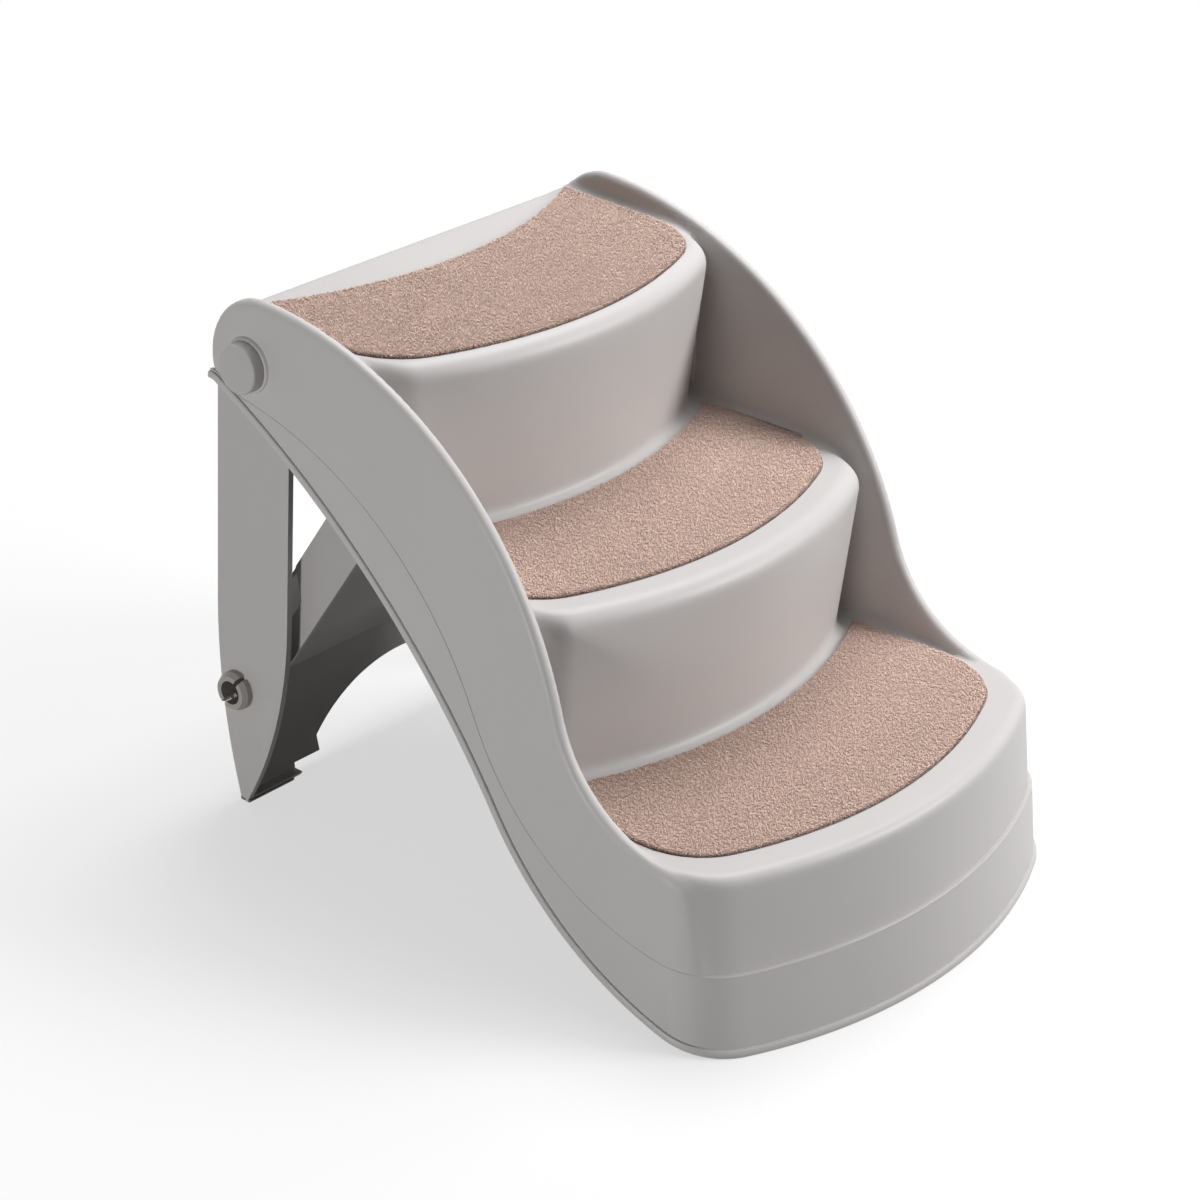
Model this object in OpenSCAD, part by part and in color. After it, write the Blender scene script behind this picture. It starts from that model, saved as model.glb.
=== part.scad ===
// Folding pet stairs: one moulded stair body on a folding rear leg with a lock brace.
// Millimetres. X across, front at -Y, rear at +Y, floor at Z = 0.

/* [Overall] */
// Full width over the bottom bead
overall_width = 380; // [340:1:420]
// Full depth from the front bead to the back of the cheeks
overall_depth = 500; // [480:1:520]
// Full height to the top of the cheeks
overall_height = 380; // [372:1:390]

/* [Body shell] */
// Wall thickness of the moulded shell
wall = 2.5; // [2:0.1:3]
// How far each side wall leans in over the full height
side_lean = 13; // [8:0.5:16]
// How far the front wall leans back over the full height
front_lean = 60; // [40:1:70]
// Radius of the front wall seen from above
front_bow_r = 375; // [330:5:450]
// Radius of the two front corners seen from above
front_corner_r = 48; // [35:1:60]
// Rounding of the front top edge
front_edge_r = 8; // [4:0.5:10]
// Height of the bead along the bottom edge
bead_height = 5; // [3:0.5:8]
// How far the bead stands out
bead_out = 2.5; // [1:0.25:4]
// How far the band above the bead stands out
band_out = 1.2; // [0.6:0.2:2]

/* [Side outline] */
// Radius of the round at the back of each cheek
heel_r = 44; // [40:1:46]
// Radius of the long bulging curve of each cheek
brow_r = 286; // [276:1:296]
// Radius of the hollow curve where the cheek runs out at the front
throat_r = 103; // [95:1:110]
// Distance from the front to where the cheek runs out
throat_back = 91; // [86:1:96]
// Distance from the front to where the bottom edge leaves the floor
toe_back = 29.3; // [25:0.5:35]
// Radius of the lower curve of the bottom edge
toe_r = 254; // [245:1:262]
// Angle at which the bottom edge changes from the lower to the upper curve
toe_angle = 53.4; // [52:0.1:55]
// Radius of the upper curve of the bottom edge
belly_r = 684; // [670:2:700]
// Distance from the back to the tip of the bottom edge
tip_front = 5; // [4:0.5:8]
// Height of the band at the front
crease_up = 56; // [50:1:62]
// Distance from the front to where the band edge starts to rise
crease_back = 78; // [70:1:86]
// Radius of the lower curve of the band edge
crease_r = 199; // [194:1:204]
// Angle at which the band edge changes its curve
crease_angle = 62.3; // [61:0.1:63.5]
// Radius of the upper curve of the band edge
crease_brow_r = 280; // [274:1:290]

/* [Cheeks] */
// Width of the cheek rim
rim_width = 8.5; // [7.5:0.25:10]
// Chamfer on the outer and inner edge of the rim
rim_chamfer = 2.6; // [1.5:0.1:3]
// Lean of the inner cheek face in degrees
cheek_angle = 3; // [2.5:0.25:3.5]
// Depth of solid plastic under the rim
rim_solid = 8; // [6:0.5:12]

/* [Steps] */
// Height of the lower tread
tread_1_up = 120; // [116:1:124]
// Height of the middle tread
tread_2_up = 241; // [237:1:245]
// How far the upper tread lies below the top of the cheeks
tread_3_down = 18; // [16:1:21]
// Radius of the bowed risers seen from above
riser_r = 355; // [335:5:380]
// Distance from the front to the foot of the middle riser
riser_2_back = 179; // [175:1:182]
// Distance from the back to the foot of the upper riser
riser_3_front = 178; // [175:1:182]
// How far each riser leans forward at its top
riser_lean = 7.5; // [4:0.5:9]
// Radius of the rounded nosing
nosing_r = 12; // [9:0.5:13]
// Radius of the hollow fillet at the foot of a riser
riser_foot_r = 8; // [5:0.5:9]
// Depth of the stiffening ribs under the lower tread
rib_depth = 18; // [10:1:24]
// Spacing of the stiffening ribs
rib_pitch = 70; // [60:1:80]

/* [Carpets] */
// Thickness of a carpet pad
carpet_thick = 3.7; // [3:0.1:5]
// Depth of the shallow recess that a carpet lies in
recess_deep = 1; // [0.6:0.1:1.2]
// Thickness of the hook-and-loop strips
strip_thick = 0.8; // [0.5:0.1:1]
// Width of a hook-and-loop strip
strip_wide = 20; // [15:1:25]
// Length of a hook-and-loop strip
strip_length = 90; // [70:5:110]
// Gap around a carpet in its recess
carpet_gap = 0.7; // [0.5:0.1:1.5]
// Plastic beside the lower carpet at its front, measured from the foot of the side wall
side_1 = 16.5; // [15.5:0.5:22]
// Plastic beside the lower carpet at its rear corners
side_1_rear = 25; // [24.5:0.5:30]
// Plastic beside the middle carpet at its front
side_2 = 22.5; // [22:0.5:28]
// Plastic beside the middle carpet at its rear corners
side_2_rear = 30; // [29.5:0.5:36]
// Plastic beside the upper carpet
side_3 = 28; // [26.5:0.5:34]
// Radius of the front corners of a carpet
carpet_corner_r = 55; // [40:1:62]
// Radius of the front edge of a carpet seen from above
carpet_bow_r = 345; // [330:5:360]
// Plastic border in front of the lower carpet
border_1 = 46.5; // [44:0.5:50]
// Plastic border in front of the middle carpet
border_2 = 28; // [24:0.5:32]
// Plastic border in front of the upper carpet
border_3 = 14; // [12:0.5:20]
// Distance from the back to the hollow rear edge of the upper carpet
carpet_3_rear = 50; // [46:0.5:54]

/* [Hinge] */
// Distance from the back to the hinge axis
pivot_front = 35; // [33:0.5:37]
// Distance from the top of the cheeks down to the hinge axis
pivot_down = 46; // [44:0.5:49]
// Radius of the hinge pin shank
pin_r = 6; // [5:0.25:7]
// Radius of the hinge pin cap
cap_r = 17; // [15:0.5:18]
// Thickness of the hinge pin cap
cap_thick = 7.5; // [6:0.25:8.5]
// Chamfer around the cap
cap_chamfer = 1.6; // [0.8:0.2:2.4]
// Radius of the boss that the cap sits on
boss_r = 20; // [18.5:0.5:21]
// How far the boss stands out of the side wall at the hinge
boss_proud = 1.7; // [1:0.1:2.4]
// Thickness of the boss
boss_thick = 5.4; // [5:0.1:6]
// Running clearance of the pin and bush bores
run_gap = 0.1; // [0.05:0.01:0.1]
// Seating clearance of fixed pins
seat_gap = 0.05; // [0.03:0.01:0.08]
// Thickness of a hinge washer
washer_thick = 1.2; // [1:0.05:1.25]
// Outer radius of a hinge washer
washer_r = 13; // [11:0.5:14]
// Radius of the hinge screw
screw_r = 2.5; // [2:0.25:3]
// Radius of the screw's flange
screw_flange_r = 9; // [8:0.25:10]
// Thickness of the screw's flange
screw_flange_thick = 1.5; // [1:0.1:1.8]
// Radius of the screw head
screw_head_r = 5; // [4:0.25:5.5]
// Height of the screw head
screw_head_thick = 3; // [2:0.1:3.2]

/* [Rear leg] */
// Gap between a hinge boss and the leg wall beside it
leg_gap = 3.5; // [3.2:0.1:3.8]
// Thickness of the leg walls and the rear sheet
leg_wall = 2.5; // [2:0.1:2.6]
// How far the rim along the front edge of the wall stands out
leg_rim_out = 2; // [1:0.25:2]
// Width of that rim
leg_rim_wide = 5; // [3:0.5:7]
// Height of the widest point of the lens-shaped wall
lens_up = 150; // [145:1:155]
// Depth of the wall at its widest point
lens_deep = 68; // [64:1:69]
// Radius of the rear edge of the wall
lens_rear_r = 478; // [465:1:490]
// Radius of the front edge of the wall
lens_front_r = 317; // [307:1:325]
// Radius of the wall around the hinge
leg_head_r = 20; // [18:0.5:20.5]
// Height of the top of the rear sheet
sheet_up = 120; // [110:1:124]
// Height of the arch in the rear sheet
arch_up = 52; // [46:1:58]
// Distance from the outside of the leg to the foot of the arch
arch_side = 76; // [70:1:80]
// Height at which the arch starts
arch_foot_up = 19; // [16:1:22]
// Height of the stepped-up part beside each foot
toe_step_up = 8; // [6:0.5:10]
// Width of each foot
foot_wide = 43; // [38:1:48]
// Thickness of the rubber foot pads
foot_pad_thick = 2; // [1.5:0.1:3]

/* [Lock brace] */
// Distance from the back to the brace axis
stub_front = 20; // [19.5:0.25:21]
// Height of the brace axis
stub_up = 86; // [84:0.5:88]
// Lean of the open brace from upright in degrees
brace_angle = 31.1; // [30.8:0.1:31.6]
// Gap between a leg wall and the brace flange beside it
brace_gap = 8.4; // [8.2:0.2:10]
// Thickness of the brace
brace_wall = 2.5; // [2:0.1:2.6]
// Length of the brace above its axis
brace_length = 228; // [222:1:229]
// Length of the front rim of the brace above its axis
brace_rim_length = 193; // [188:1:194]
// Distance from the axis to the front rim
brace_rim_out = 17; // [15:0.5:18]
// Distance from the axis to the back of the web
brace_web_out = 18.5; // [17:0.5:19]
// Width of the neck of the flange behind the axis
brace_neck_out = 0.6; // [0:0.2:2]
// Start of the wide upper part of the flange
brace_shoulder = 113; // [108:1:118]
// End of the narrow neck of the flange
brace_neck = 95; // [90:1:98]
// Radius of the flange around its axis
brace_eye_r = 12.6; // [12.4:0.1:12.8]
// Distance from the axis to the back of the web beside the axis
web_low_out = 10.5; // [9.5:0.25:11]
// Height above the axis at which the web starts to slope in
web_straight = 51; // [46:1:56]
// Height above the axis at which the web ends sloping in
web_bend = 25.5; // [22:0.5:30]
// Radius of the snap bush
bush_r = 12; // [11:0.25:12.2]
// Radius of the lip of the snap bush
bush_lip_r = 14; // [13:0.25:15]
// Radius of the hole through the snap bush
bush_bore_r = 8.5; // [7.5:0.25:9]
// How far the snap bush stands out of the leg wall
bush_out = 8; // [6:0.25:8.25]
// Width of the two slits in the snap bush
slit_wide = 3; // [2:0.25:4]

/* [Front pads] */
// Radius of a round front pad
pad_r = 7; // [5:0.5:8]
// Thickness of a front pad
pad_thick = 3; // [2:0.25:4]
// Distance of the outer front pads from the middle
pad_far = 120; // [110:1:126]
// Distance of the inner front pads from the middle
pad_near = 45; // [35:1:60]

/* [Hidden] */
half_width = overall_width / 2 - bead_out;
front_y = -overall_depth / 2;
wall_front_y = front_y + bead_out;
rear_y = overall_depth / 2;
far = 2 * overall_depth;
side_slope = side_lean / overall_height;
heel = [rear_y - heel_r, overall_height - heel_r];
throat = [front_y + throat_back, tread_1_up + throat_r];
brow = meet(heel, brow_r - heel_r, throat, brow_r + throat_r);
toe_y = front_y + toe_back;
pivot = [rear_y - pivot_front, overall_height - pivot_down];
wall_at_pivot = half_width - side_slope * pivot[1];
boss_out = wall_at_pivot + boss_proud;
boss_in = boss_out - boss_thick;
leg_out = boss_in - leg_gap;
stub = [rear_y - stub_front, stub_up];
leg_in = leg_out - leg_wall;
brace_out = leg_in - brace_gap;
brace_in = brace_out - brace_wall;
foot_half = leg_out - foot_wide;
arch_half = leg_out - arch_side;
pin_end = leg_in - 3 * run_gap;
lens_rear = rear_y - lens_rear_r;
lens_front = rear_y - lens_deep + lens_front_r;
riser_2_y = front_y + riser_2_back;
riser_3_y = rear_y - riser_3_front;
tread_3_up = overall_height - tread_3_down;
inner_reach = overall_width / 2;
leg_hub = boss_in - washer_thick - 3 * run_gap;
// share of the front bow's half angle that its own arc covers; the rest blends into the corners
bow_share = 0.9;
// height of the wall's straight upper part, in heights of its widest point
shoulder_share = 1.5;
// length of the cross slot, in head radii
slot_share = 1.4;

// helpers

// point where two circles meet, the lower one of the two
function meet(a, ra, b, rb) =
    let (d = norm(b - a), e = (b - a) / d,
        u = (ra * ra - rb * rb + d * d) / (2 * d), v = sqrt(ra * ra - u * u),
        p = a + e * u + [e[1], -e[0]] * v, q = a + e * u - [e[1], -e[0]] * v)
    p[1] < q[1] ? p : q;
function angle_of(p) = atan2(p[1], p[0]);
function arc(c, r, a0, a1, steps) =
    [for (k = [0 : steps]) let (a = a0 + (a1 - a0) * k / steps) c + r * [cos(a), sin(a)]];

// cheek outline in side view, from the front to the back
function rim_curve() = concat(
    arc(throat, throat_r, -90, angle_of(brow - throat), 8),
    arc(brow, brow_r, angle_of(throat - brow), angle_of(heel - brow), 14));

// two tangent curves that rise from a level at the front, raised by h
function rising_edge(y0, z0, r, a, r2, a2, h) =
    let (c = [y0, z0 + r], j = c + r * [sin(a), -cos(a)], c2 = j + r2 * [sin(a), -cos(a)])
    concat(arc(c, r - h, -90, a - 90, 8), arc(c2, r2 + h, a + 90, a2 + 90, 8));
belly_c = [toe_y, toe_r] + (toe_r + belly_r) * [sin(toe_angle), -cos(toe_angle)];
belly_end = asin((belly_c[0] - rear_y + tip_front) / belly_r);
function bottom_edge(h) = rising_edge(toe_y, 0, toe_r, toe_angle, belly_r, belly_end, h);
function crease_edge() =
    rising_edge(front_y + crease_back, crease_up, crease_r, crease_angle, crease_brow_r, 0, 0);

// a side view outline pushed through the full width
module across(w) {
    rotate([90, 0, 90])
        linear_extrude(height = w, center = true)
            children();
}

// body shell

// outline seen from above at one height: two straight sides, two corners and the bowed front
function plan_ring(up, inset) =
    let (w = half_width - side_lean * up / overall_height - front_corner_r,
        y = wall_front_y + front_lean * up / overall_height + front_bow_r,
        drop = sqrt(pow(front_bow_r - front_corner_r, 2) - w * w),
        a = asin(w / (front_bow_r - front_corner_r)), r = front_corner_r - inset)
    concat([[-w - r, rear_y + heel_r]], arc([-w, y - drop], r, 180, 270 - a, 5),
        arc([0, y], front_bow_r - inset, 270 - a * bow_share, 270 + a * bow_share, 9),
        arc([w, y - drop], r, 270 + a, 360, 5), [[w + r, rear_y + heel_r]]);
// solid through several heights, each given as [height, inset]
module loft(levels) {
    rings = [for (l = levels) plan_ring(l[0], l[1])];
    count = len(rings[0]);
    last = len(levels) - 1;
    polyhedron(
        points = [for (k = [0 : last]) for (p = rings[k]) [p[0], p[1], levels[k][0]]],
        faces = concat([[for (k = [0 : count - 1]) k]],
            [[for (k = [count - 1 : -1 : 0]) last * count + k]],
            [for (l = [0 : last - 1]) for (k = [0 : count - 1])
                let (m = (k + 1) % count, a = l * count)
                for (f = [[a + m, a + k, a + count + k], [a + m, a + count + k, a + count + m]]) f]));
}
module tub(inset) {
    loft([[inset > 0 ? -inset : 0, inset], [overall_height, inset]]);
}
// the outer wall alone, standing out by a little
module wall_ring(out) {
    difference() {
        tub(-out);
        tub(wall / 2);
    }
}
module front_block(inset) {
    top = tread_1_up - (inset > 0 ? inset : 0);
    loft(concat([[inset > 0 ? -inset : 0, inset]],
        [for (a = [0 : inset > 0 ? 90 : 30 : 90])
            [top - front_edge_r * (1 - sin(a)), inset + front_edge_r * (1 - cos(a))]]));
}
module rim_outline() {
    polygon(concat([[-far, -far], [-far, tread_1_up]], rim_curve(),
        arc(heel, heel_r, angle_of(heel - brow), -90, 12), [[heel[0], -far]]));
}
module back_outline() {
    polygon(concat([[-far, -far], [-far, far], [heel[0], far]],
        arc(heel, heel_r, 90, -90, 15), [[heel[0], -far]]));
}
module lean_outline() {
    polygon(concat([[throat[0], -far], [throat[0], tread_1_up]], rim_curve(),
        [[heel[0], overall_height], [far, overall_height], [far, -far]]));
}

// a side outline whose height runs with the distance from the middle: z = gain * z + slope * |x| + rise
module leaning(side, gain, slope, rise) {
    multmatrix([[1, 0, 0, 0], [0, 1, 0, 0], [side * slope, 0, gain, rise], [0, 0, 0, 1]])
        translate([side * inner_reach * 3 / 4, 0, 0])
            across(inner_reach)
                lean_outline();
}
module cheek(side, inset) {
    t = tan(cheek_angle);
    base = half_width - rim_width + inset;
    leaning(side, 1 + side_slope / t, 1 / t, -base / t);
}
module riser_outline(low, high) {
    offset(r = nosing_r, $fn = 24)
        offset(delta = -nosing_r)
            offset(r = -riser_foot_r, $fn = 24)
                offset(delta = riser_foot_r) {
                    translate([0, -far / 4])
                        square([riser_r + 3 * nosing_r, low + far / 4]);
                    polygon([[0, 0], [riser_r, 0], [riser_r, low],
                        [riser_r + riser_lean, high], [0, high]]);
                }
}
module riser_block(foot_y, low, high, inset) {
    translate([0, foot_y + riser_r, 0])
        rotate_extrude($fn = 150)
            intersection() {
                offset(delta = -inset)
                    riser_outline(low, high);
                translate([0, -far / 2])
                    square(far);
            }
}
module body_solid(inset) {
    intersection() {
        tub(inset);
        union() {
            for (side = [-1, 1])
                intersection() {
                    cheek(side, inset);
                    across(far)
                        offset(delta = inset > 0 ? -rim_solid : 0)
                            rim_outline();
                    if (inset == 0)
                        leaning(side, 1 - side_slope, -1, half_width - rim_chamfer);
                }
            intersection() {
                across(far)
                    offset(delta = -inset)
                        back_outline();
                union() {
                    riser_block(riser_2_y, tread_1_up, tread_2_up, inset);
                    riser_block(riser_3_y, tread_2_up, tread_3_up, inset);
                    front_block(inset);
                }
            }
        }
    }
}
module under_edge() {
    polygon(concat(bottom_edge(0), [[far, overall_height - heel_r], [far, -far], [toe_y, -far]]));
}
module band_outline() {
    intersection() {
        difference() {
            translate([-far / 2, 0])
                square([far, far]);
            under_edge();
        }
        polygon(concat([[-far, -far], [-far, crease_up]], crease_edge(), [[far, -far]]));
    }
}
module bead_outline() {
    difference() {
        polygon(concat([[-far, 0], [-far, bead_height]], bottom_edge(bead_height),
            [[far, overall_height - heel_r], [far, -far]]));
        under_edge();
        translate([-far, -far])
            square([2 * far, far]);
    }
}
module hinge_place(side) {
    translate([0, pivot[0], pivot[1]])
        rotate([0, side * 90, 0])
            children();
}
function bow_back(x, r) = r - sqrt(r * r - x * x);
module tread_ribs() {
    front = wall_front_y + front_lean * tread_1_up / overall_height + wall / 2;
    for (k = [-1.5 : 1 : 1.5])
        translate([k * rib_pitch - wall / 2, front + bow_back(k * rib_pitch, front_bow_r),
                   tread_1_up - wall / 2 - recess_deep / 2 - rib_depth])
            cube([wall, riser_2_y - front - 3 * wall, rib_depth]);
}
module brace_guides() {
    for (side = [-1, 1])
        translate([side * (brace_out + wall) - wall / 2,
                   riser_3_y + bow_back(brace_out, riser_r) + wall / 2, tread_2_up + nosing_r])
            cube([wall, 2 * nosing_r, 3 * nosing_r]);
}
module pad_ledges() {
    for (x = [-pad_far, -pad_near, pad_near, pad_far])
        translate([x - pad_r, pad_row(x) - 2 * pad_r, pad_thick])
            cube([2 * pad_r, 3 * pad_r, wall]);
}
function pad_row(x) =
    wall_front_y + front_bow_r - sqrt(pow(front_bow_r - wall - 2 * pad_r, 2) - x * x);

module stair_body() {
    color([0.80, 0.79, 0.78])
        difference() {
            union() {
                difference() {
                    union() {
                        body_solid(0);
                        intersection() {
                            wall_ring(band_out);
                            across(far)
                                intersection() {
                                    band_outline();
                                    rim_outline();
                                }
                        }
                        intersection() {
                            wall_ring(bead_out);
                            across(far)
                                intersection() {
                                    bead_outline();
                                    rim_outline();
                                }
                        }
                    }
                    body_solid(wall);
                }
                tread_ribs();
                brace_guides();
                intersection() {
                    tub(wall / 2);
                    pad_ledges();
                }
                for (side = [-1, 1])
                    hinge_place(side)
                        translate([0, 0, boss_in])
                            cylinder(r = boss_r, h = boss_out - boss_in, $fn = 64);
            }
            across(far)
                under_edge();
            for (side = [-1, 1])
                hinge_place(side)
                    translate([0, 0, boss_in - wall])
                        cylinder(r = pin_r + seat_gap, h = far, $fn = 48);
            carpet_place(1)
                carpet_recess() carpet_1_outline();
            carpet_place(2)
                carpet_recess() carpet_2_outline();
            carpet_place(3)
                carpet_recess() carpet_3_outline();
        }
}

// carpets and their strips

module carpet_place(k) {
    translate([0, 0, [tread_1_up, tread_2_up, tread_3_up][k - 1]])
        children();
}
module carpet_recess() {
    translate([0, 0, -recess_deep])
        linear_extrude(height = recess_deep + carpet_thick)
            offset(delta = carpet_gap)
                children();
}
module carpet_shape(front_edge, back_edge, half, rear_half) {
    offset(r = carpet_corner_r, $fn = 64)
        offset(delta = -carpet_corner_r)
            intersection() {
                translate([0, front_edge + carpet_bow_r])
                    circle(r = carpet_bow_r, $fn = 160);
                polygon([[-half, front_edge], [half, front_edge], [half, front_edge + carpet_corner_r],
                    [rear_half, back_edge], [rear_half, far], [-rear_half, far], [-rear_half, back_edge],
                    [-half, front_edge + carpet_corner_r]]);
            }
}
module riser_clear(foot_y) {
    translate([0, foot_y + riser_r])
        circle(r = riser_r + riser_foot_r + 2 * carpet_gap, $fn = 150);
}
module carpet_1_outline() {
    difference() {
        carpet_shape(front_y + border_1 + bead_out, riser_2_y + border_2,
            half_width - side_1, half_width - side_1_rear);
        riser_clear(riser_2_y);
    }
}
module carpet_2_outline() {
    difference() {
        carpet_shape(riser_2_y - riser_lean + border_2, riser_3_y + border_2,
            half_width - side_2, half_width - side_2_rear);
        riser_clear(riser_3_y);
    }
}
module carpet_3_outline() {
    difference() {
        carpet_shape(riser_3_y - riser_lean + border_3, rear_y - carpet_3_rear,
            half_width - side_3, half_width - side_3);
        translate([0, rear_y - carpet_3_rear + riser_r])
            circle(r = riser_r, $fn = 150);
        translate([-far / 2, rear_y - border_3])
            square(far);
    }
}
module carpet(k) {
    color([0.76, 0.67, 0.62])
        carpet_place(k)
            translate([0, 0, strip_thick - recess_deep])
                linear_extrude(height = carpet_thick)
                    children();
}
module carpet_lower() {
    carpet(1) carpet_1_outline();
}
module carpet_middle() {
    carpet(2) carpet_2_outline();
}
module carpet_upper() {
    carpet(3) carpet_3_outline();
}
module grip_strips(k, y) {
    color([0.30, 0.29, 0.29])
        carpet_place(k)
            for (side = [-1, 1])
                translate([side * strip_length - strip_length / 2, y - strip_wide / 2, -recess_deep])
                    cube([strip_length, strip_wide, strip_thick]);
}
module grip_strips_lower() {
    grip_strips(1, (front_y + border_1 + riser_2_y) / 2);
}
module grip_strips_middle() {
    grip_strips(2, (riser_2_y + border_2 + riser_3_y) / 2);
}
module grip_strips_upper() {
    grip_strips(3, (riser_3_y + border_3 + rear_y - carpet_3_rear) / 2);
}

// front pads

module front_grip_pads() {
    color([0.20, 0.20, 0.20])
        for (x = [-pad_far, -pad_near, pad_near, pad_far])
            translate([x, pad_row(x), 0])
                cylinder(r = pad_r, h = pad_thick, $fn = 40);
}

// hinge

module hinge_pin(side) {
    color([0.76, 0.75, 0.74])
        hinge_place(side)
            difference() {
                union() {
                    translate([0, 0, pin_end])
                        cylinder(r = pin_r, h = boss_out - pin_end, $fn = 48);
                    translate([0, 0, boss_out])
                        cylinder(r = cap_r, h = cap_thick - cap_chamfer, $fn = 64);
                    translate([0, 0, boss_out + cap_thick - cap_chamfer])
                        cylinder(r1 = cap_r, r2 = cap_r - cap_chamfer, h = cap_chamfer, $fn = 64);
                }
                translate([0, 0, pin_end])
                    cylinder(r = screw_r + seat_gap, h = boss_out - pin_end, $fn = 32);
            }
}
module hinge_pin_left() {
    hinge_pin(-1);
}
module hinge_pin_right() {
    hinge_pin(1);
}
module hinge_screw(side) {
    color([0.62, 0.62, 0.62])
        hinge_place(side)
            difference() {
                union() {
                    translate([0, 0, pin_end])
                        cylinder(r = screw_r, h = boss_in - pin_end, $fn = 32);
                    translate([0, 0, pin_end - screw_flange_thick])
                        cylinder(r = screw_flange_r, h = screw_flange_thick, $fn = 48);
                    translate([0, 0, pin_end - screw_flange_thick - screw_head_thick])
                        cylinder(r = screw_head_r, h = screw_head_thick, $fn = 48);
                }
                translate([0, 0, pin_end - screw_flange_thick - screw_head_thick])
                    for (turn = [0, 90])
                        rotate([0, 0, turn])
                            cube([screw_head_r * slot_share, screw_r / 2, screw_head_thick], center = true);
            }
}
module hinge_screw_left() {
    hinge_screw(-1);
}
module hinge_screw_right() {
    hinge_screw(1);
}
module hinge_washer(side) {
    color([0.93, 0.93, 0.92])
        hinge_place(side)
            translate([0, 0, boss_in - washer_thick - run_gap])
                difference() {
                    cylinder(r = washer_r, h = washer_thick, $fn = 48);
                    cylinder(r = pin_r + run_gap, h = washer_thick, $fn = 48);
                }
}
module hinge_washer_left() {
    hinge_washer(-1);
}
module hinge_washer_right() {
    hinge_washer(1);
}

// rear leg

// angle on the round head at which a straight edge from p touches it
function tangent_angle(p, way) =
    angle_of(p - pivot) + way * acos(leg_head_r / norm(p - pivot));
module lens_outline() {
    reach = lens_up - foot_pad_thick;
    front_shoulder = [rear_y - lens_deep, lens_up * shoulder_share];
    rear_shoulder = [rear_y, lens_up * shoulder_share];
    polygon(concat(
        arc([lens_front, lens_up], lens_front_r, 180 + asin(reach / lens_front_r), 180, 12),
        [front_shoulder],
        arc(pivot, leg_head_r, 360 + tangent_angle(front_shoulder, -1),
            tangent_angle(rear_shoulder, 1), 14),
        [rear_shoulder],
        arc([lens_rear, lens_up], lens_rear_r, 0, -asin(reach / lens_rear_r), 10)));
}
module arch_outline(inset) {
    rise = arch_up - arch_foot_up;
    r = (arch_half * arch_half + rise * rise) / (2 * rise);
    offset(delta = -inset) {
        intersection() {
            translate([0, arch_up - r])
                circle(r = r, $fn = 160);
            translate([-arch_half, arch_foot_up - leg_wall / 2])
                square([2 * arch_half, far]);
        }
        translate([-arch_half, -arch_up])
            square([2 * arch_half, arch_up + arch_foot_up]);
        polygon([[-foot_half, -arch_up], [-foot_half + toe_step_up, toe_step_up],
            [foot_half - toe_step_up, toe_step_up], [foot_half, -arch_up]]);
    }
}
// room inside the leg: open to the front, and to the back above the rear sheet
module leg_room_outline() {
    intersection() {
        translate([-leg_wall, 0])
            lens_outline();
        translate([0, foot_pad_thick + leg_wall])
            square([far, far]);
    }
    translate([0, sheet_up])
        square([far, far]);
}
// what is taken off outside the raised rim along the front edge of a side wall
module leg_rim_pocket(side) {
    translate([side * (leg_out + leg_rim_out), 0, 0])
        across(2 * leg_rim_out)
            union() {
                for (drop = [0, -leg_rim_wide])
                    translate([leg_rim_wide, drop])
                        lens_outline();
                translate([pivot[0] - leg_head_r * 2, pivot[1] - leg_head_r])
                    square(leg_head_r * 4);
            }
}
module leg_hub_disc(side) {
    hinge_place(side)
        translate([0, 0, leg_out - leg_wall / 2])
            cylinder(r = leg_head_r - leg_rim_out, h = leg_hub - leg_out + leg_wall / 2, $fn = 64);
}
module leg_bores(side) {
    hinge_place(side)
        translate([0, 0, leg_in - leg_wall])
            cylinder(r = pin_r + run_gap, h = far, $fn = 48);
    stub_place(side)
        translate([0, 0, leg_in - leg_wall])
            cylinder(r = bush_r + run_gap, h = far, $fn = 64);
}
module rear_leg() {
    color([0.76, 0.75, 0.74])
        difference() {
            union() {
                difference() {
                    across(2 * (leg_out + leg_rim_out))
                        lens_outline();
                    across(2 * leg_in)
                        leg_room_outline();
                    rotate([90, 0, 0])
                        linear_extrude(height = far, center = true)
                            arch_outline(0);
                    leg_rim_pocket(-1);
                    leg_rim_pocket(1);
                }
                leg_hub_disc(-1);
                leg_hub_disc(1);
            }
            leg_bores(-1);
            leg_bores(1);
        }
}
module foot_pad(side) {
    color([0.45, 0.44, 0.43])
        intersection() {
            translate([side * (foot_half + leg_out) / 2, rear_y, foot_pad_thick / 2])
                cube([leg_out - foot_half, overall_depth, foot_pad_thick], center = true);
            across(far)
                translate([0, -foot_pad_thick])
                    intersection() {
                        lens_outline();
                        square([far, 2 * foot_pad_thick]);
                    }
        }
}
module foot_pad_left() {
    foot_pad(-1);
}
module foot_pad_right() {
    foot_pad(1);
}

// lock brace, drawn open

module stub_place(side) {
    translate([0, stub[0], stub[1]])
        rotate([0, side * 90, 0])
            children();
}
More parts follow.
